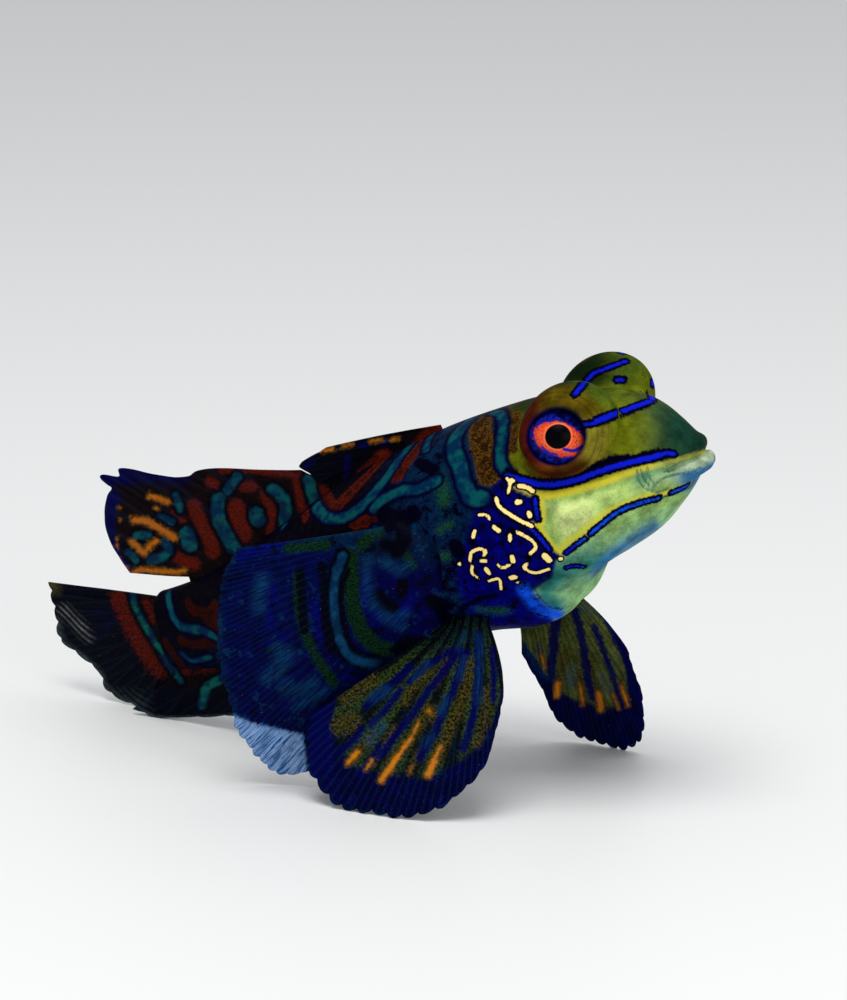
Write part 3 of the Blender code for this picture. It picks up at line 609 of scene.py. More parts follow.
def skin_strokes(canvas, seen, hidden=()):
    """Strokes of the picture laid on the straight fish, with those of the unseen stretches."""
    strokes = [(half / PIXELS_PER_MM, p) for half, *path in seen for p in canvas.trace(smooth_path(path))]
    return strokes + [(half, [at_angle(s, a) for s, a in smooth_path(path)]) for half, *path in hidden]


def sheet_distance(spots, seen):
    """Distances in millimetres to the picture's strokes, for a thin sheet marked alike on both faces."""
    strokes = [(half / PIXELS_PER_MM, smooth_path(path) / PIXELS_PER_MM) for half, *path in seen]
    return stroke_distance(spots / PIXELS_PER_MM, strokes)


def near_line(spots, reach, *line):
    """How near each spot is to a line in the picture: 1 on it, and 0 from reach pixels away."""
    return smoothstep(1 - sheet_distance(spots, ((0.0, *line),)) * PIXELS_PER_MM / reach)


def in_patch(distance, softness):
    return smoothstep(0.5 - distance / softness)


def paint_skin(local, faces):
    """Ground colour and the distances to each kind of mark, for every point of the skin."""
    s, side, h = local[:, 0], np.abs(local[:, 1]), local[:, 2]
    point = np.stack([s, side, h], 1)
    spots = seen_at(place(point * [1, -1, 1]))
    height = (h - profile(BELLY, s)) / (profile(BACK, s) - profile(BELLY, s))
    rear_top = ramp(s, 19, 6) * ramp(height, 0.3, 0.3)
    tail_end = ramp(s, 40, 5)
    head = in_patch(polygon_distance(spots, HEAD_PATCH), 5)
    gill = in_patch(polygon_distance(spots, GILL_PATCH), 12)
    jaw = in_patch(polygon_distance(spots, JAW_PATCH), 4)
    cheek_edge = polygon_distance(spots, CHEEK_PATCH)
    cheek = in_patch(cheek_edge, 3)
    eye_out, along, ring = about_axis(point, EYE_CENTRE, EYE_AXIS)
    behind, above = eye_out[:, 0], eye_out[:, 2]

    def near(reach, *line):
        return near_line(spots, reach, *line)

    body = layered(
        BODY_DARK,
        (BODY_BLUE, 0.6 * ramp(height, 0.35, 0.4) * ramp(s, 24, -6)),
        (BACK_DARK, 0.95 * rear_top),
        (TAIL_DARK, 0.9 * tail_end),
        (BELLY_DARK, 0.9 * ramp(height, 0.3, -0.2)))
    crown = layered(
        OLIVE,
        (OLIVE_DARK, 0.7 * ramp(h, 4.4, 2.0)),
        (TOP_DARK, 0.95 * ramp(h, 5.0, 1.7) * ramp(s, 6.5, 2.2)),
        (BROWN, 0.5 * ramp(s, 12.5, 2.0)),
        (SNOUT_GREEN, 0.95 * ramp(s, 5.4, -2.8) * ramp(h, -0.3, 1.0)),
        (SNOUT_GREEN, 0.5 * ramp(side, 2.4, -1.5) * ramp(s, 7.0, -3.0)))
    under_jaw = layered(
        JAW_PALE,
        (JAW_TEAL, 0.9 * near(28, 560, 572, 590, 563, 604, 566)),
        (JAW_TEAL, 0.95 * near(20, 552, 580, 545, 594, 556, 606)),
        (JAW_BLUE, 0.85 * near(13, 598, 573, 606, 562, 616, 552, 634, 540, 654, 527)),
        (CHEEK_GREEN, 0.7 * near(12, 606, 530, 625, 518, 655, 505, 680, 496)),
        (JAW_PALE, 0.8 * near(18, 582, 602, 600, 588)))
    pale_cheek = layered(
        YELLOW,
        (CHEEK_GREEN, ramp(cheek_edge, -1.5, -5)),
        (CHEEK_PALE, ramp(cheek_edge, -6.0, -9)),
        (CHEEK_GREEN, 0.8 * near(15, 548, 515, 552, 532, 562, 545)),
        (CHEEK_GREEN, 0.7 * near(18, 600, 505, 625, 490, 645, 482)),
        (JAW_TEAL, 0.55 * near(20, 640, 478, 660, 474, 700, 462)))
    turret = layered(
        TURRET_OLIVE,
        (TURRET_BROWN, ramp(behind, -0.8, 1.8)),
        (TURRET_RED, 0.8 * ramp(above, -0.4, -1.6) * ramp(ring, 3.4, -0.8)),
        (TURRET_PALE, 0.8 * ramp(behind, -1.2, -1.2) * ramp(above, 1.6, -1.2)),
        (RUST_DARK, 0.6 * ramp(behind, 1.4, 1.6) * ramp(above, -0.6, 1.0)),
        (RUST_DARK, 0.75 * ramp(above, -1.3, -0.8) * ramp(ring, 3.0, -0.5)))
    ground = layered(
        body,
        (crown, head),
        (DEEP, gill),
        (under_jaw, jaw),
        (BRIGHT_BLUE, near(11, 524, 590, 534, 603, 546, 611, 558, 615)),
        (pale_cheek, cheek),
        # The lower lip: pale above and blue below; the pale band is the lip's own colour with a painted
        # highlight along its top edge
        (layered(LIP_PALE_HIGHLIGHT, (LIP_BLUE, ramp(h, -0.25, -0.5))), ramp(s, 3.4, -1.4) * ramp(h, 0.25, -0.3)),
        (turret, ramp(ring, 3.9, -0.9) * ramp(along, -0.6, 0.8)),
        (NAVY, 0.9 * ramp(ring, 2.16, -0.25) * ramp(along, -0.2, 0.3)))
    canvas = Canvas(place(local), faces, point)
    marks = {kind: stroke_distance(point, skin_strokes(canvas, *tables)) for kind, tables in SKIN_MARKS.items()}
    flank = (1 - head) * (1 - jaw) * (1 - cheek) * (1 - gill)
    return ground, {
        **marks,
        "flank": flank,
        "cool": flank * (1 - 0.9 * rear_top) * (1 - 0.8 * tail_end),
        "gill": gill * (1 - jaw) * (1 - cheek),
        "ring": ring + FAR * (along < -0.4),
        "place_s": s,
        "place_y": side,
        "place_h": h,
    }


class Value:
    """What a node gives, with + - * for the math nodes that take it further."""

    def __init__(self, graph, socket):
        self.graph, self.socket = graph, socket

    def __add__(self, other):
        return self.graph.math("ADD", self, other)

    def __sub__(self, other):
        return self.graph.math("SUBTRACT", self, other)

    def __rsub__(self, other):
        return self.graph.math("SUBTRACT", other, self)

    def __mul__(self, other):
        return self.graph.math("MULTIPLY", self, other)


class Graph:
    """Short names for the nodes of one material."""

    def __init__(self, name, roughness=0.42, specular=0.004):
        self.material = bpy.data.materials.new(name)
        self.material.use_nodes = True
        self.tree = self.material.node_tree
        self.shader = self.tree.nodes["Principled BSDF"].inputs
        self.shader["Roughness"].default_value = roughness
        self.shader["Specular IOR Level"].default_value = specular

    def put(self, socket, value):
        if isinstance(value, Value):
            self.tree.links.new(value.socket, socket)
        elif hasattr(value, "__len__"):
            socket.default_value = (*[float(v) for v in value], 1.0)
        else:
            socket.default_value = value

    def node(self, kind, output, inputs, **settings):
        """A new node's output, with the node's inputs and settings filled in."""
        node = self.tree.nodes.new("ShaderNode" + kind)
        for key, value in settings.items():
            setattr(node, key, value)
        for key, value in inputs.items():
            self.put(node.inputs[key], value)
        return Value(self, node.outputs[output])

    def number(self, name):
        return self.node("Attribute", "Fac", {}, attribute_name=name)

    def math(self, operation, *values):
        return self.node("Math", 0, dict(enumerate(values)), operation=operation)

    def span(self, value, start, end, low=0.0, high=1.0):
        """A smooth change from low at start to high at end."""
        inputs = {"Value": value, "From Min": start, "From Max": end, "To Min": low, "To Max": high}
        return self.node("MapRange", "Result", inputs, interpolation_type="SMOOTHSTEP")

    def mix(self, share, first, second, blend_type="MIX"):
        inputs = {0: share, 6: first, 7: second}
        return self.node("Mix", 2, inputs, data_type="RGBA", blend_type=blend_type)

    def layers(self, colour, *layers):
        """A colour under layers, each a colour and the share that it covers."""
        for paint, share in layers:
            colour = self.mix(share, colour, paint)
        return colour

    def vector(self, *names):
        return self.node("CombineXYZ", 0, dict(enumerate(self.number(name) for name in names)))

    def noise(self, vector, scale, detail=3.0, roughness=0.55):
        inputs = {"Vector": vector, "Scale": scale, "Detail": detail, "Roughness": roughness}
        return self.node("TexNoise", "Fac", inputs)

    def jitter(self, size, *noise):
        """Noise about zero, which roughens the edge of a mark."""
        return (self.noise(*noise) - 0.5) * size

    def ground(self, spot):
        """The ground colour made lighter and darker by clouds and grain, with both noises."""
        cloud, grain = self.noise(spot, 0.9, 4.0), self.noise(spot, 7.0)
        tint = self.mix(self.span(cloud + grain * 0.35, 0.36, 1.0), (0.45, 0.45, 0.45), (1.4, 1.4, 1.4))
        ground = self.node("Attribute", "Color", {}, attribute_name="ground")
        return self.mix(1.0, ground, tint, "MULTIPLY"), cloud, grain

    def finish(self, colour, relief, depth):
        """Gives the shader its colour and a bump of this depth in metres."""
        self.put(self.shader["Base Color"], colour)
        self.put(self.shader["Normal"], self.node("Bump", "Normal", {"Height": relief, "Distance": depth}))
        return self.material


def skin_material():
    g = Graph("fish_skin")
    spot = g.vector("place_s", "place_y", "place_h")
    colour, cloud, grain = g.ground(spot)
    flank, gill, cool, ring = (g.number(key) for key in ("flank", "gill", "cool", "ring"))
    s, h = g.number("place_s"), g.number("place_h")
    # Dark, blue and green mottling
    speck, blot = g.noise(spot, 9.0, 3.0, 0.7), g.noise(spot, 1.5, 4.0, 0.65)
    green = g.number("green") + (speck - 0.5) * 2.4
    # Rust and teal bands, the teal ones edged in blue-black
    waver = g.jitter(0.4, spot, 1.3)
    rust = g.number("rust") + waver + g.jitter(0.5, spot, 5.0, 3.0, 0.7)
    teal = g.number("teal") + waver
    grit = g.span(grain, 0.3, 0.66)
    rear_rust = g.mix(grit, RUST_DARK, g.mix(g.span(s, 38.0, 45.0), RUST, RUST_DIM))
    rust_colour = g.mix(g.span(s, 17.0, 20.5), g.mix(grit, RUST_DARK, BROWN), rear_rust)
    rust_core = g.span(rust, -0.05, -0.4) * g.span(g.noise(spot, 2.2, 4.0, 0.7), 0.44, 0.54)
    # Thin lines, and the fine circles round the eye
    circles = g.span(g.math("SINE", ring * 17.0), 0.3, 0.95, 0.0, 0.26) * g.span(ring, 3.6, 3.2)
    edge = g.jitter(0.3, spot, 4.5)
    ink = g.number("ink") + waver + edge * 1.2
    yellow, blue = g.number("yellow") + edge, g.number("blue") + edge
    squiggle = g.number("squiggle") + edge * 0.5
    chin = g.span(h, -0.6, -1.6) * g.span(s, 10.5, 9.0)
    throat = g.math("MAXIMUM", chin, g.span(h, -4.6, -5.6))
    # The mouth's creases: a dent in the bump, with darker teal laid in them as painted shade
    crease_shade_and_dent = g.span(g.number("wrinkle"), 0.1, -0.02)
    colour = g.layers(
        colour,
        (BODY_BLUE, g.span(blot, 0.5, 0.6) * cool),
        (BLACK_BLUE, g.span(blot, 0.47, 0.38) * (flank + gill)),
        (SPECK_TEAL, g.span(speck, 0.62, 0.7) * (cool * 0.6)),
        (ROYAL, g.span(blot, 0.56, 0.66) * (gill * 0.7)),
        (g.mix(g.span(grain, 0.35, 0.6), BODY_GREEN, MOSS), g.span(green, 0.2, -0.3) * 0.72),
        (g.mix(rust_core * 0.8, rust_colour, RUST_DARK), g.span(rust, 0.16, -0.1)),
        (BLACK_BLUE, g.span(teal, 0.44, 0.12)),
        (NAVY, g.span(teal, 0.22, 0.04) * 0.8),
        (g.mix(g.span(cloud, 0.42, 0.62), TEAL_DARK, TEAL), g.span(teal, 0.12, -0.18)),
        (RUST_DARK, circles * g.span(ring, 2.2, 2.5)),
        (BLACK_BLUE, g.span(ink, 0.16, -0.12)),
        (YELLOW, g.span(yellow, 0.3, -0.15) * 0.75),
        (BLACK_BLUE, g.span(blue, 0.22, 0.1)),
        (NAVY, g.span(blue, 0.06, -0.02)),
        (g.mix(throat, BLUE, BRIGHT_BLUE), g.span(blue, 0.0, -0.14)),
        (BLACK_BLUE, g.span(squiggle, 0.15, 0.09)),
        (SQUIGGLE, g.span(squiggle, 0.03, -0.03)),
        # painted shade in the mouth's creases
        (JAW_TEAL, crease_shade_and_dent * 0.7))
    relief = grain * 0.5 + g.noise(spot, 22.0, 2.0) * 0.3 + circles * 0.5 - crease_shade_and_dent * 1.6
    return g.finish(colour, relief, 0.00006)


skin_local, skin_quads = build_skin()
skin_ground, skin_marks = paint_skin(skin_local, skin_quads)
skin = new_mesh("skin", to_world(place(skin_local)), skin_quads, skin_marks)
add_ground(skin, skin_ground)
skin.data.materials.append(skin_material())
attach(skin, "root")
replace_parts(skin, "head", "trunk", "tail")


# Eyes: a ball behind the lids, with iris and pupil painted by place across the eye's own axis
PUPIL_MIDDLE, PUPIL_RADIUS = (0.1, -0.07), 0.84
IRIS_MIDDLE, IRIS_HALF_LENGTH, IRIS_HALF_WIDTH, IRIS_TILT = (0.12, -0.24), 1.74, 1.12, math.radians(-31.0)
IRIS_RED, IRIS_BRIGHT, BLACK, EYE_BLUE = rgb(186, 40, 26), rgb(236, 104, 60), rgb(1, 1, 3), rgb(12, 26, 140)
BLUE_FLECKS = ((0.1, 0.3, -0.98, 0.9, -1.2, 1.5, -1.0), (0.07, -1.1, -0.5, -0.7, -1.0, -0.2, -1.25))
EYE_STEPS, EYE_TURN = 73, math.radians(118)  # points across the ball, and how far it reaches round from its axis
CORNEA_HEIGHT, CORNEA_TURN = 0.035, 0.42


def eye_material():
    g = Graph("eye", 0.06, 0.03)
    spot, u, v = g.vector("eye_u", "eye_v", "eye_w"), g.number("eye_u"), g.number("eye_v")
    fleck, fine = g.noise(spot, 3.0), g.noise(spot, 14.0, 2.0)

    def radius(x, y):
        return g.math("SQRT", x * x + y * y)

    x, y = u - IRIS_MIDDLE[0], v - IRIS_MIDDLE[1]
    cosine, sine = math.cos(IRIS_TILT), math.sin(IRIS_TILT)
    along = x * (cosine / IRIS_HALF_LENGTH) + y * (sine / IRIS_HALF_LENGTH)
    across = y * (cosine / IRIS_HALF_WIDTH) - x * (sine / IRIS_HALF_WIDTH)
    outer = radius(along, across) + (fleck - 0.5) * 0.5
    pupil = radius(u - PUPIL_MIDDLE[0], v - PUPIL_MIDDLE[1])
    iris = g.layers(
        g.mix(g.span(fine, 0.35, 0.65), IRIS_RED, IRIS_BRIGHT),
        (IRIS_RED, g.span(outer, 0.72, 1.0) * 0.6),
        (RUST_DARK, g.span(fleck, 0.6, 0.68)))
    colour = g.layers(
        g.mix(g.span(fleck, 0.42, 0.62), NAVY, EYE_BLUE),
        (iris, g.span(outer, 1.06, 0.96)),
        (IRIS_BRIGHT, g.span(pupil, PUPIL_RADIUS + 0.16, PUPIL_RADIUS + 0.06)),
        (EYE_BLUE, g.span(g.number("eye_blue"), 0.06, -0.04)),
        (BLACK, g.span(pupil, PUPIL_RADIUS + 0.03, PUPIL_RADIUS - 0.03)))
    return g.finish(colour, fine, 0.00002)


EYE_MATERIAL = eye_material()


def make_eye(name, side):
    steps = np.linspace(-1, 1, EYE_STEPS)
    x, y = (grid.ravel() for grid in np.meshgrid(steps, steps, indexing="ij"))
    u, v = x * np.sqrt(1 - y * y / 2), y * np.sqrt(1 - x * x / 2)
    turn, around = np.hypot(u, v) * EYE_TURN, np.arctan2(v, u)
    axis = unit(EYE_AXIS)
    forward = unit(np.array([-1.0, 0.0, 0.0]) + axis[0] * axis)
    upward = np.cross(forward, axis)
    upward = upward * np.sign(upward[2])
    bulge = EYE_RADIUS * (1 + CORNEA_HEIGHT * np.exp(-((turn / CORNEA_TURN) ** 2)))
    across_u, across_v = np.sin(turn) * np.cos(around), np.sin(turn) * np.sin(around)
    out = across_u[:, None] * forward + across_v[:, None] * upward + np.cos(turn)[:, None] * axis
    local = (EYE_CENTRE + bulge[:, None] * out) * [1.0, side, 1.0]
    faces = grid_faces(EYE_STEPS, EYE_STEPS)
    if side > 0:
        faces = faces[:, ::-1]
    flat = np.stack([across_u, across_v], 1) * EYE_RADIUS
    flecks = [(half, smooth_path(path)) for half, *path in BLUE_FLECKS]
    marks = {
        "eye_u": flat[:, 0],
        "eye_v": flat[:, 1],
        "eye_w": np.cos(turn) * EYE_RADIUS,
        "eye_blue": stroke_distance(flat, flecks),
    }
    eye = new_mesh(name, to_world(place(local)), faces, marks)
    eye.data.materials.append(EYE_MATERIAL)
    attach(eye, "root")
    return eye


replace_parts(make_eye("eyeball_right", -1), "eye_right")
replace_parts(make_eye("eyeball_left", 1), "eye_left")


# Fins: the same guide points as the solids, with finer rays and thinner webs
FIRST_DORSAL_ROOTS = (19.2, 21.4, 23.4, 25.2, 27.0, 29.0)
FIRST_DORSAL_TIPS = (
    (28.4, 0.0, 8.4), (29.7, 0.0, 8.35), (31.5, 0.0, 8.2), (30.8, 0.0, 7.4), (29.95, 0.0, 6.5),
    (29.3, 0.0, 5.6))
SECOND_DORSAL_ROOTS = (
    29.2, 31.25, 33.05, 34.4, 35.2, 36.4, 38.3, 40.8, 41.1, 42.2, 42.4, 42.6, 43.1, 44.3, 45.3, 46.2, 47.0)
SECOND_DORSAL_TIPS = (
    (31.4, 0.0, 7.8), (36.2, 0.0, 9.3), (39.9, 0.0, 10.3), (42.6, 0.0, 10.7), (43.9, 0.0, 10.5),
    (45.6, 0.0, 10.7), (48.2, 0.0, 11.3), (51.6, 0.0, 12.1), (52.0, 0.0, 11.4), (53.8, 0.0, 11.8),
    (54.0, 0.0, 11.4), (53.3, 0.0, 10.7), (54.1, 0.0, 10.0), (54.9, 0.0, 8.5), (54.9, 0.0, 6.8),
    (54.5, 0.0, 5.3), (53.8, 0.0, 3.9))
ANAL_ROOTS = (29.0, 31.8, 34.6, 37.4, 40.2, 43.4, 47.0, 51.0)
ANAL_TIPS = (
    (33.0, 0.0, -9.4), (37.0, 0.0, -9.3), (41.0, 0.0, -8.8), (44.6, 0.0, -8.3), (47.6, -0.2, -7.9),
    (50.4, -0.5, -7.7), (53.3, -1.0, -7.35), (55.4, -1.6, -6.4))
CAUDAL_ROOTS = ((50.35, 0.0, 1.7), (50.35, 0.0, -3.2))
CAUDAL_TIPS = (
    (62.7, 0.0, 4.1), (62.8, 0.0, 2.5), (63.0, 0.0, 0.9), (63.1, 0.0, -0.7), (61.4, 0.0, -2.1),
    (59.8, 0.0, -3.6), (59.2, 0.1, -5.1), (57.2, 0.4, -6.4), (54.8, 0.7, -7.05), (52.8, 1.1, -7.2))
RIGHT_PECTORAL_ROOTS = ((21.2, -7.9, 1.9), (20.4, -8.2, 0.1), (20.6, -8.15, -2.0), (22.4, -6.4, -5.7))
RIGHT_PECTORAL_TIPS = (
    (30.8, -11.1, 4.4), (32.8, -11.9, 2.2), (34.3, -12.3, -0.8), (35.4, -12.2, -3.7), (36.5, -11.2, -7.0),
    (37.2, -9.7, -10.5), (36.1, -8.0, -12.6), (32.0, -6.4, -12.6))
LEFT_PECTORAL_ROOTS = ((21.2, 7.8, 1.9), (20.6, 8.1, 0.1), (20.8, 8.0, -2.0), (22.0, 7.4, -4.0))
LEFT_PECTORAL_TIPS = (
    (33.0, 7.0, 3.6), (34.8, 6.8, 1.9), (35.8, 6.8, 0.0), (36.0, 7.0, -2.0), (35.6, 7.4, -4.0),
    (34.6, 7.8, -6.0), (32.6, 8.2, -7.6), (29.4, 8.6, -8.2))
# The pelvic fins as they stand on the floor
RIGHT_PELVIC_ROOTS = ((16.9, -7.6, 13.5), (15.0, -7.8, 13.3), (13.4, -7.8, 12.9))
RIGHT_PELVIC_TIPS = (
    (19.0, -9.6, 8.7), (18.4, -10.9, 4.7), (16.3, -11.7, 1.8), (13.2, -12.4, 0.0), (10.2, -12.6, 0.0),
    (7.0, -12.5, 0.2), (4.5, -11.7, 2.6), (4.3, -10.4, 6.0))
LEFT_PELVIC_ROOTS = ((18.6, 3.1, 13.8), (17.0, 3.4, 13.4), (14.2, 3.7, 12.6))
LEFT_PELVIC_TIPS = (
    (21.9, 6.0, 8.6), (22.7, 7.8, 4.5), (22.4, 9.2, 1.5), (20.8, 9.9, 0.0), (18.6, 10.0, 0.0),
    (16.6, 9.9, 0.4), (15.1, 9.0, 2.2), (14.6, 7.9, 4.6), (13.5, 6.7, 7.4))
# How far a fin bows out halfway along its rays
NO_BOW = ((0.0, 0.0, 0.0), (0.0, 0.0, 0.0))
RIGHT_PECTORAL_BOWS = ((0.0, -0.6, 0.0), (0.0, -0.4, 0.0), (0.0, 0.4, 0.0), (-0.4, 1.6, -0.6))
RIGHT_PELVIC_BOWS, LEFT_PELVIC_BOWS = ((0.6, -0.8, 0.0), (0.0, -1.0, 0.0)), ((0.3, 0.5, 0.0), (0.0, 0.5, 0.0))
# A fin's build in mm, or as shares of a ray's length and of the gap between rays
WEB_HALF, EDGE_THIN, EDGE_END = 0.055, 0.35, 0.02
RAY_WIDTH, FORK_START, FORK_LENGTH, FORK_SPREAD, RAY_TAPER = 0.12, 0.45, 0.4, 0.24, 0.45
ROOT_SHARE, ROW_CROWDING, RAGGED = 0.06, 1.15, 0.022
WAVE_HEIGHT, WAVE_TURN, PLEAT_HEIGHT = 0.22, 0.55, 0.05
ROOT_CLEARANCE = 0.35

FIN_NAVY, FIN_BLUE, FIN_DEEP, FIN_ROYAL = rgb(1, 1, 60), rgb(1, 6, 62), rgb(1, 1, 10), rgb(2, 2, 88)
FIN_TEAL, FIN_GREEN, FIN_OLIVE, FIN_BROWN = rgb(10, 56, 92), rgb(13, 46, 11), rgb(82, 90, 38), rgb(84, 66, 14)
CLEAR_BLUE, STREAK_BLUE, CAUDAL_TEAL = rgb(134, 170, 218), rgb(10, 80, 142), rgb(10, 84, 76)
AMBER, AMBER_DARK, ORANGE_GLOW = rgb(182, 108, 20), rgb(92, 60, 12), rgb(164, 88, 16)

# Marks on the fins, written as those of the body are
PECTORAL_TEAL = (
    (4.4, 342, 556, 338, 568, 334, 584, 334, 604, 336, 622, 341, 642, 349, 655, 361, 662, 374, 662),)
PECTORAL_INK = (
    (4.4, 322, 566, 325, 585, 324, 612, 328, 640, 333, 652),
    (2.6, 348, 570, 342, 590, 343, 616, 350, 642, 362, 654, 380, 658), (6.0, 402, 584, 402, 592),
    (6.0, 378, 596, 386, 604, 394, 608), (7.0, 430, 600, 440, 606, 444, 618),
    (5.0, 300, 572, 302, 600, 304, 630), (5.0, 395, 650, 410, 642, 424, 640), (6.0, 384, 545, 396, 548),
    (8.0, 400, 524, 404, 538, 396, 552), (5.0, 388, 528, 416, 518))
PECTORAL_GREEN = (
    (8.0, 350, 556, 351, 580, 353, 606, 362, 632, 376, 646, 388, 650), (5.4, 362, 546, 370, 536, 380, 532),
    (5.0, 298, 575, 299, 600, 302, 622, 310, 646, 322, 666, 334, 684), (2.4, 324, 572, 326, 590, 325, 612),
    (5.0, 288, 548, 304, 546, 326, 545), (4.0, 398, 540, 404, 552, 414, 566))
PECTORAL_PALE = (
    (7.0, 262, 580, 258, 608), (7.0, 276, 650, 288, 655, 276, 670, 266, 678),
    (8.0, 284, 684, 298, 692, 312, 686), (5.0, 296, 706, 312, 698, 324, 692),
    (3.0, 280, 537, 310, 534, 345, 531, 378, 529), (5.0, 367, 560, 367, 584, 374, 606, 390, 620, 402, 626),
    (5.0, 386, 562, 398, 570, 408, 566), (4.0, 396, 616, 406, 612), (4.0, 356, 660, 366, 664, 376, 664))
PECTORAL_ROYAL = (
    (366, 578, 364, 598, 372, 614, 388, 620, 404, 612, 414, 596), (398, 626, 420, 642),
    (300, 540, 270, 546, 242, 556), (316, 600, 318, 640), (272, 590, 270, 620, 284, 640),
    (350, 676, 330, 690))
CLEAR_PATCH = (200, 700, 232, 714, 250, 722, 275, 728, 303, 734, 306, 760, 312, 830, 260, 820, 200, 740)
PELVIC_INK = (
    (3.4, 458, 648, 441, 657, 426, 665, 409, 682),
    (3.8, 460, 650, 446, 668, 428, 692, 410, 718, 396, 735, 380, 756),
    (4.2, 465, 652, 455, 685, 445, 706, 436, 730, 420, 758),
    (4.0, 478, 634, 478, 666, 476, 698, 470, 728, 463, 748), (3.4, 400, 690, 388, 706, 372, 724),
    (3.6, 362, 728, 352, 742, 340, 752), (3.4, 380, 745, 370, 762, 358, 776),
    (3.0, 492, 648, 494, 676, 493, 700), (12.0, 320, 700, 316, 735, 322, 765),
    (4.0, 410, 668, 384, 690, 366, 706))
PELVIC_BROWN = (
    (6.0, 470, 664, 462, 700, 448, 732, 436, 762), (4.4, 430, 672, 412, 690, 404, 703),
    (6.0, 429, 708, 433, 716), (5.0, 424, 718, 412, 738, 398, 756, 386, 772),
    (3.6, 394, 728, 382, 748, 370, 766), (4.6, 372, 736, 360, 750, 350, 762), (10.0, 340, 726, 352, 722),
    (7.0, 346, 698, 356, 690, 372, 680), (4.6, 488, 690, 484, 720, 477, 744), (3.0, 418, 752, 410, 772),
    (3.6, 446, 660, 436, 684))
PELVIC_ORANGE = (
    (3.6, 358, 752, 352, 758, 348, 763), (2.6, 372, 760, 366, 770), (2.4, 419, 722, 411, 738),
    (3.2, 411, 738, 399, 755), (4.2, 399, 755, 390, 768, 381, 780), (3.0, 441, 746, 434, 760),
    (4.6, 434, 762, 431, 768, 428, 775), (3.0, 429, 711, 431, 713), (1.6, 412, 766, 409, 773))
PELVIC_BLUE = (
    (5.0, 369, 739, 382, 726), (3.0, 446, 698, 441, 712), (3.0, 479, 636, 480, 662, 479, 700),
    (2.6, 458, 646, 464, 636), (3.4, 424, 744, 430, 738), (3.0, 428, 664, 414, 678),
    (3.0, 464, 660, 460, 678), (5.0, 386, 690, 374, 698))
FAR_PELVIC_INK = (
    (5.4, 555, 618, 554, 644, 551, 666, 551, 680), (4.2, 575, 612, 582, 639, 586, 666, 590, 688, 594, 698),
    (3.4, 594, 626, 604, 652, 613, 677, 621, 704, 626, 716),
    (4.0, 597, 600, 612, 630, 625, 657, 634, 682, 641, 708))
FAR_PELVIC_BROWN = (
    (4.0, 566, 652, 561, 672, 558, 690), (4.0, 580, 672, 583, 700), (4.4, 590, 664, 596, 684, 600, 704),
    (3.4, 620, 680, 626, 700), (3.0, 614, 690, 618, 704), (3.0, 538, 646, 544, 664))
FAR_PELVIC_ORANGE = (
    (2.0, 542, 656, 545, 668), (4.2, 558, 684, 557, 695), (2.8, 580, 684, 583, 704),
    (4.4, 599, 694, 601, 709), (2.4, 622, 686, 628, 706), (1.8, 613, 694, 619, 709))
FAR_PELVIC_BLUE = (
    (4.0, 571, 670, 571, 684), (3.0, 602, 677, 607, 691), (2.4, 538, 646, 541, 652),
    (2.6, 516, 633, 528, 651, 538, 666, 545, 676), (3.0, 585, 608, 592, 612))


def grid_normals(points):
    normal = np.cross(np.gradient(points, axis=0), np.gradient(points, axis=1))
    return normal / (np.linalg.norm(normal, axis=2, keepdims=True) + 1e-9)


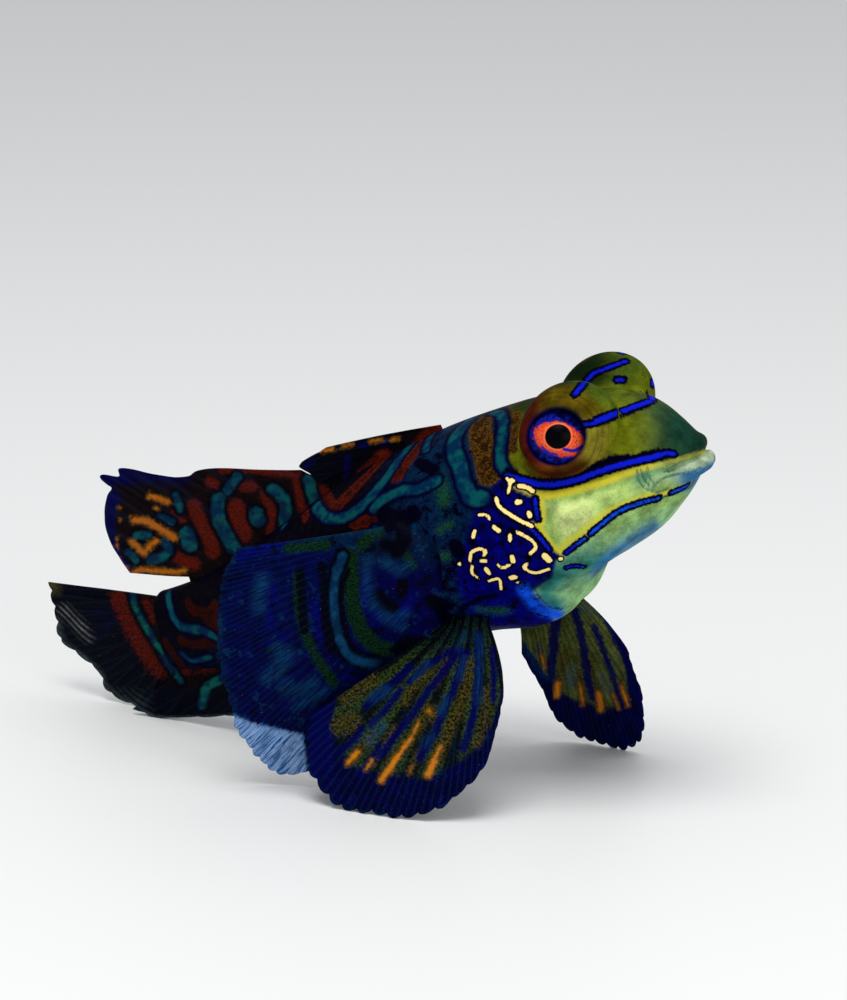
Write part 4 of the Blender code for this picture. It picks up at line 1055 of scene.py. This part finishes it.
def fan(
        roots, tips, rays, rows, sink, seed, bows=NO_BOW, median=True, fleshy=0.0, notch=0.022,
        ridge_height=0.1, ray_columns=8):
    """A fin's placed points and faces, with each point's reach from root to tip and its place among the rays.

    The first rows run from the roots along sink, into the skin.
    """
    columns = ray_columns * (rays - 1) + 1
    root, tip, bow = (curve_through(guides, columns)[None] for guides in (roots, tips, bows))
    ray = np.linspace(0, rays - 1, columns)
    offset = np.abs(ray - np.round(ray))
    ragged = np.interp(ray, np.arange(rays), np.random.default_rng(seed).uniform(0.0, RAGGED, rays))
    margin = 1.0 - notch * (2 * offset) ** 2 - ragged
    grow = 1 - (1 - np.linspace(0, 1, rows)) ** ROW_CROWDING
    reach = ((1 + ROOT_SHARE) * grow - ROOT_SHARE)[:, None, None] * np.ones((1, columns, 1))
    reach = np.where(reach > 0, reach * margin[None, :, None], reach)
    outer = np.clip(reach, 0.0, 1.0)
    middle = root * (1 - outer) + tip * outer + bow * 4 * outer * (1 - outer)
    middle = middle + np.array(sink) * np.clip(-reach / ROOT_SHARE, 0.0, 1.0)
    fork = FORK_SPREAD * ramp(outer, FORK_START, FORK_LENGTH)
    ridge = np.exp(-(((offset[None, :, None] - fork) / RAY_WIDTH) ** 2))
    bare = 1.0 if fleshy == 0 else smoothstep(outer / 0.4)
    half = WEB_HALF + ridge_height * ridge * (1 - RAY_TAPER * outer) * bare
    half = half + fleshy * smoothstep(1 - outer / 0.35)
    half = half * (EDGE_THIN + (1 - EDGE_THIN) * smoothstep((1 - grow[:, None, None]) / EDGE_END))
    normal = np.array([0.0, 1.0, 0.0]) if median else grid_normals(middle)
    wave = WAVE_HEIGHT * outer**2 * np.sin(ray * WAVE_TURN + seed)[None, :, None]
    wave = wave + PLEAT_HEIGHT * outer * np.cos(math.pi * ray)[None, :, None]
    middle = middle + normal * wave
    points = np.concatenate([(middle + normal * half).reshape(-1, 3), (middle - normal * half).reshape(-1, 3)])
    if median:
        points = place(points)
    points[:, 2] = np.maximum(points[:, 2], 0.0)
    size = rows * columns
    front = grid_faces(rows, columns)
    index = np.arange(size).reshape(rows, columns)
    rim = np.concatenate([index[0], index[1:, -1], index[-1, -2::-1], index[-2:0:-1, 0]])
    after = np.roll(rim, -1)
    side = np.stack([rim, rim + size, after + size, after], 1)
    faces = np.concatenate([front, front[:, ::-1] + size, side])
    p = points - points.mean(0)
    volume = np.einsum("ij,ij->i", p[faces[:, 0]], np.cross(p[faces[:, 1]], p[faces[:, 2]])).sum()
    if volume < 0:
        faces = faces[:, ::-1]
    values = {"reach": outer[..., 0], "ray": ray, "web": 1 - ridge[..., 0]}
    return points, faces, {
        key: np.tile(np.broadcast_to(value, (rows, columns)).ravel(), 2) for key, value in values.items()}


def fin_material(
        name, speckled=0.0, see_through=False, mottle=0.0, ink=BLACK_BLUE, band=TEAL, streaky=0.1, grit=0.15,
        glow=ORANGE_GLOW, frays=0.8, rayed=0.1):
    g = Graph(name, 0.45, 0.014)
    spot = g.vector("flat_x", "flat_y")
    colour, cloud, grain = g.ground(spot)
    comb = g.noise(g.vector("comb", "along"), 3.0, 3.0, 0.7)
    streaks = g.noise(g.vector("ray_half", "stretch"), 6.0, 3.0, 0.7)
    fine, speck, blot = g.noise(spot, 9.0, 2.0), g.noise(spot, 5.0, 4.0, 0.75), g.noise(spot, 0.8, 4.0, 0.68)
    waver = g.jitter(0.4, spot, 1.3)
    rough = (g.noise(spot, 3.0, 3.0, 0.7) * (1.0 - streaky) + streaks * streaky - 0.5) * 0.8
    rust = g.number("rust") + g.jitter(frays, spot, 3.6, 4.0, 0.8)
    teal = g.number("teal") + waver
    heart = g.number("orange") + rough * 0.6
    web = g.number("web")
    rays = g.span(web, 0.7, 0.1) * g.span(g.number("reach"), 0.25, 0.6, 0.0, rayed)

    def laid(kind, paint, soft, fade=1.0):
        """A layer of paint over one kind of mark."""
        return paint, g.span(g.number(kind) + waver + rough, soft, -soft) * fade

    colour = g.layers(
        colour,
        (FIN_TEAL, g.span(blot, 0.56, 0.66) * mottle),
        (FIN_DEEP, g.span(blot, 0.46, 0.36) * min(1.0, 2 * mottle)),
        laid("brown", g.mix(g.span(grain, 0.35, 0.6), FIN_GREEN, FIN_BROWN), 0.26, 0.9),
        laid("green", g.mix(g.span(grain, 0.34, 0.58), FIN_DEEP, FIN_GREEN), 0.2, 0.95),
        (g.mix(g.span(grain, 0.24, 0.6), RUST_DARK, RUST), g.span(rust, 0.2, -0.16)),
        (FIN_DEEP, g.span(speck, 0.57, 0.42) * grit),
        (FIN_DEEP, g.span(teal, 0.42, 0.12)),
        (g.mix(g.span(cloud, 0.42, 0.62), TEAL_DARK, band), g.span(teal, 0.12, -0.16)),
        laid("ink", ink, 0.14, 0.95),
        laid("pale", FIN_TEAL, 0.4, g.span(comb, 0.4, 0.62, 0.1, 0.75)),
        laid("orange", g.mix(g.span(heart, 0.02, -0.26), AMBER_DARK, glow), 0.16))
    colour = g.layers(
        colour, (g.mix(0.5, colour, FIN_TEAL), rays), (CLEAR_BLUE, g.span(fine, 0.72, 0.8, 0.0, speckled)))
    if see_through:
        clear = g.span(g.number("clear") + (comb - 0.5) * 1.1, 0.36, 0.62)
        streak = g.math("MAXIMUM", g.span(comb, 0.45, 0.56), g.span(web, 0.75, 0.25, 0.0, 0.45))
        colour = g.mix(clear, colour, g.mix(streak, CLEAR_BLUE, STREAK_BLUE))
        g.put(g.shader["Alpha"], 1.0 - clear * g.span(web, 0.2, 0.8, 0.05, 0.3))
    return g.finish(colour, grain * 0.6 + fine * 0.4, 0.00005)


def build_fin(name, node, slot, material, guides, ground_of, seen, marks_from=None, clear_patch=None, **shape):
    """One fin with its markings; a fin made like another takes that one's ground and marks point by point."""
    points, faces, table = fan(*guides, **shape)
    if marks_from is None:
        spots = seen_at(points)
        marks = {"flat_x": spots[:, 0] / PIXELS_PER_MM, "flat_y": spots[:, 1] / PIXELS_PER_MM}
        for kind in ("green", "brown", "rust", "teal", "ink", "pale", "orange"):
            marks[kind] = sheet_distance(spots, seen.get(kind, ()))
        if clear_patch is not None:
            marks["clear"] = in_patch(polygon_distance(spots, clear_patch), 24)
        marks_from = (ground_of(spots, table), marks)
    ground, marks = marks_from
    grids = {
        "reach": table["reach"], "web": table["web"], "comb": table["ray"] * 1.6, "along": table["reach"] * 3.0,
        "ray_half": table["ray"] * 0.5, "stretch": table["reach"] * 6.0}
    obj = new_mesh(name, to_world(points), faces, {**marks, **grids})
    add_ground(obj, ground)
    obj.data.materials.append(material)
    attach(obj, "root")
    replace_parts(obj, node)
    return marks_from


def above_back(stations):
    return [(s, 0.0, float(profile(BACK, s)) + ROOT_CLEARANCE) for s in stations]


def below_belly(stations):
    return [(s, 0.0, float(profile(BELLY, s)) - ROOT_CLEARANCE) for s in stations]


def first_dorsal_ground(spots, table):
    x = spots[:, 0]
    light = ((348, 458, 346, 474), (361, 446, 366, 445), (383, 443, 386, 442), (306, 466, 312, 462))
    lights = [(FIN_NAVY, near_line(spots, 5.5, *line)) for line in light]
    return layered(FIN_DEEP, *lights, (RUST_DARK, 0.5 * ramp(x, 390, 20)))


def second_dorsal_ground(spots, table):
    x, y = spots.T
    return layered(
        FIN_DEEP,
        (RUST_DARK, 0.6),
        (FIN_NAVY, 0.85 * (ramp(y, 490, -14) * ramp(x, 196, -12))),
        (FIN_NAVY, ramp(table["reach"], 0.86, 0.06) * ramp(table["ray"], 3.0, 1.0)))


def tail_ground(spots, table):
    x, y = spots.T
    streak = 0.5 + 0.5 * np.cos(y - x * 0.83 + 2 * np.sin(x * 0.13))
    return layered(
        rgb(3, 5, 16),
        (RUST_DARK, 0.8 * ramp(table["reach"], 0.45, -0.3)),
        (rgb(130, 132, 126), 0.6 * near_line(spots, 11.0, 64, 610, 76, 622, 88, 636) * streak**2),
        (rgb(2, 3, 34), 0.7 * near_line(spots, 12.0, 104, 612, 112, 622, 96, 632)),
        (rgb(92, 108, 106), 0.55 * (ramp(table["reach"], 0.9, 0.1) * ramp(y, 612, 14)) * (0.4 + 0.6 * streak)),
        (rgb(60, 76, 78), 0.45 * (ramp(y, 682, 18) * ramp(x, 158, -20)) * streak),
        (rgb(70, 64, 30), 0.7 * ramp(y, 600, -10) * ramp(x, 66, -12)))


def pectoral_ground(spots, table):
    y = spots[:, 1]
    root = layered(FIN_NAVY, (rgb(3, 20, 46), ramp(y, 580, -30)))
    return layered(
        FIN_BLUE,
        (FIN_NAVY, 0.7 * ramp(y, 600, 60)),
        # darker teal over the upper part of the fin: a painted sheen
        (TEAL_DARK, 0.75 * ramp(y, 558, -20)),
        (TEAL_DARK, 0.6 * ramp(table["reach"], 0.93, 0.06)),
        (root, 0.95 * ramp(table["reach"], 0.4, -0.24)),
        *((FIN_ROYAL, near_line(spots, 9.0, *line)) for line in PECTORAL_ROYAL))


def pelvic_ground(spots, table):
    x, reach = spots[:, 0], table["reach"]
    near = float(x.mean() < 500)  # 1 for the fin nearer the camera, which is darker
    return layered(
        FIN_OLIVE,
        (FIN_GREEN, 0.75 * near),
        (rgb(6, 34, 34), 0.85 * ramp(reach, 0.3, -0.3)),
        # dark stripes across the rays, stronger on the nearer fin: painted shade
        (FIN_DEEP, (0.15 + 0.75 * near) * smoothstep(np.cos(table["ray"] * 2.1) + 0.2)),
        (FIN_NAVY, smoothstep((reach - 0.7 - 0.04 * near) / 0.05)),
        (FIN_ROYAL, near * ramp(x, 338, -12)),
        (FIN_TEAL, 0.4 * ramp(reach, 0.965, 0.03)))


body_marks = {"teal": TEAL_BANDS, "rust": RUST_BANDS, "orange": ORANGE_MARKS}
dorsal_material = fin_material("dorsal_web")
caudal_material = fin_material("caudal_web", 0.4, band=CAUDAL_TEAL, grit=0.5, frays=2.4)
build_fin(
    "first_dorsal_web", "first_dorsal_fin", "dorsal_fin", dorsal_material,
    (above_back(FIRST_DORSAL_ROOTS), FIRST_DORSAL_TIPS, 5, 60),
    first_dorsal_ground, {"orange": ORANGE_MARKS, "rust": RUST_BANDS}, sink=(0.0, 0.0, -1.3), seed=2)
build_fin(
    "second_dorsal_web", "second_dorsal_fin", "dorsal_fin", dorsal_material,
    (above_back(SECOND_DORSAL_ROOTS), SECOND_DORSAL_TIPS, 9, 90),
    second_dorsal_ground, body_marks, sink=(0.0, 0.0, -1.3), seed=3, notch=0.006, ray_columns=20)
build_fin(
    "anal_web", "anal_fin", "caudal_fin", caudal_material,
    (below_belly(ANAL_ROOTS), ANAL_TIPS, 9, 70), tail_ground, body_marks, sink=(0.0, 0.0, 1.3), seed=4)
build_fin(
    "caudal_web", "caudal_fin", "caudal_fin", caudal_material,
    (CAUDAL_ROOTS, CAUDAL_TIPS, 12, 90), tail_ground, body_marks, sink=(-1.2, 0.0, 0.0), seed=5, ray_columns=16)

pectoral_material = fin_material(
    "pectoral_web", 0.5, see_through=True, mottle=0.45, ink=FIN_DEEP, band=FIN_TEAL, streaky=0.6, grit=0.45,
    rayed=0.2)
pectoral_shape = {"seed": 6, "median": False, "fleshy": 0.5, "notch": 0.01, "ridge_height": 0.05}
pectoral_kept = build_fin(
    "pectoral_web_right", "pectoral_fin_right", "pectoral_fin", pectoral_material,
    (place(RIGHT_PECTORAL_ROOTS), place(RIGHT_PECTORAL_TIPS), 28, 80), pectoral_ground,
    {"teal": PECTORAL_TEAL, "ink": PECTORAL_INK, "green": PECTORAL_GREEN, "pale": PECTORAL_PALE},
    clear_patch=CLEAR_PATCH, sink=(0.3, 1.6, 0.0), bows=RIGHT_PECTORAL_BOWS, **pectoral_shape)
build_fin(
    "pectoral_web_left", "pectoral_fin_left", "pectoral_fin", pectoral_material,
    (place(LEFT_PECTORAL_ROOTS), place(LEFT_PECTORAL_TIPS), 28, 80), None, None,
    marks_from=pectoral_kept, sink=(0.2, -1.6, 0.0), **pectoral_shape)

pelvic_looks = {"mottle": 0.12, "ink": FIN_NAVY, "streaky": 0.3, "glow": AMBER, "rayed": 0.2}
pelvic_material = fin_material("pelvic_web", 0.4, grit=0.95, **pelvic_looks)
far_pelvic_material = fin_material("far_pelvic_web", 0.4, grit=0.4, **pelvic_looks)
build_fin(
    "pelvic_web_right", "pelvic_fin_right", "pelvic_fin", pelvic_material,
    (RIGHT_PELVIC_ROOTS, RIGHT_PELVIC_TIPS, 19, 80), pelvic_ground,
    {"ink": PELVIC_INK, "brown": PELVIC_BROWN, "orange": PELVIC_ORANGE, "pale": PELVIC_BLUE},
    sink=(-0.4, 1.3, 1.2), seed=7, bows=RIGHT_PELVIC_BOWS, median=False)
build_fin(
    "pelvic_web_left", "pelvic_fin_left", "pelvic_fin", far_pelvic_material,
    (LEFT_PELVIC_ROOTS, LEFT_PELVIC_TIPS, 19, 80), pelvic_ground,
    {"ink": FAR_PELVIC_INK, "brown": FAR_PELVIC_BROWN, "orange": FAR_PELVIC_ORANGE, "pale": FAR_PELVIC_BLUE},
    sink=(-0.3, -0.5, 1.6), seed=8, bows=LEFT_PELVIC_BOWS, median=False)

# Camera, floor and lights
FILM_WIDTH = 36.0
FLOOR_HALF = 3.0
AIM = (0, 0, 0.015)


def add_object(name, data):
    obj = bpy.data.objects.new(name, data)
    bpy.context.scene.collection.objects.link(obj)
    return obj


def aim(obj, direction):
    obj.rotation_mode = "QUATERNION"
    obj.rotation_quaternion = Vector(direction).to_track_quat("-Z", "Y")


camera = add_object("camera", bpy.data.cameras.new("camera"))
bpy.context.scene.camera = camera
camera.data.sensor_width = FILM_WIDTH
camera.data.lens = FILM_WIDTH * FOCAL_PIXELS / IMAGE_HEIGHT
camera.data.clip_start, camera.data.clip_end = 0.01, 10.0
camera.location = to_world(CAMERA_PLACE)
aim(camera, -BACKWARD)

floor_mesh = bpy.data.meshes.new("floor")
corners = [(x * FLOOR_HALF, y * FLOOR_HALF, 0) for x, y in ((-1, -1), (1, -1), (1, 1), (-1, 1))]
floor_mesh.from_pydata(corners, [], [(0, 1, 2, 3)])
floor = add_object("floor", floor_mesh)
floor_material = bpy.data.materials.new("floor")
floor_material.use_nodes = True
floor_material.node_tree.nodes["Principled BSDF"].inputs["Base Color"].default_value = (0.8, 0.8, 0.79, 1)
floor_mesh.materials.append(floor_material)

bpy.context.scene.view_settings.view_transform = "Standard"
world = bpy.data.worlds.new("world")
bpy.context.scene.world = world
world.use_nodes = True
sky = world.node_tree.nodes["Background"].inputs
sky["Color"].default_value = (0.95, 0.97, 1.0, 1)
sky["Strength"].default_value = 0.6

LIGHTS = (("key", (0.05, -0.15, 0.45), 0.25, 1.5), ("side", (0.4, -0.25, 0.15), 0.2, 0.55))
for name, spot, size, power in LIGHTS:
    light = add_object(name, bpy.data.lights.new(name, "AREA"))
    light.data.size, light.data.energy = size, power
    light.location = spot
    aim(light, Vector(AIM) - Vector(spot))
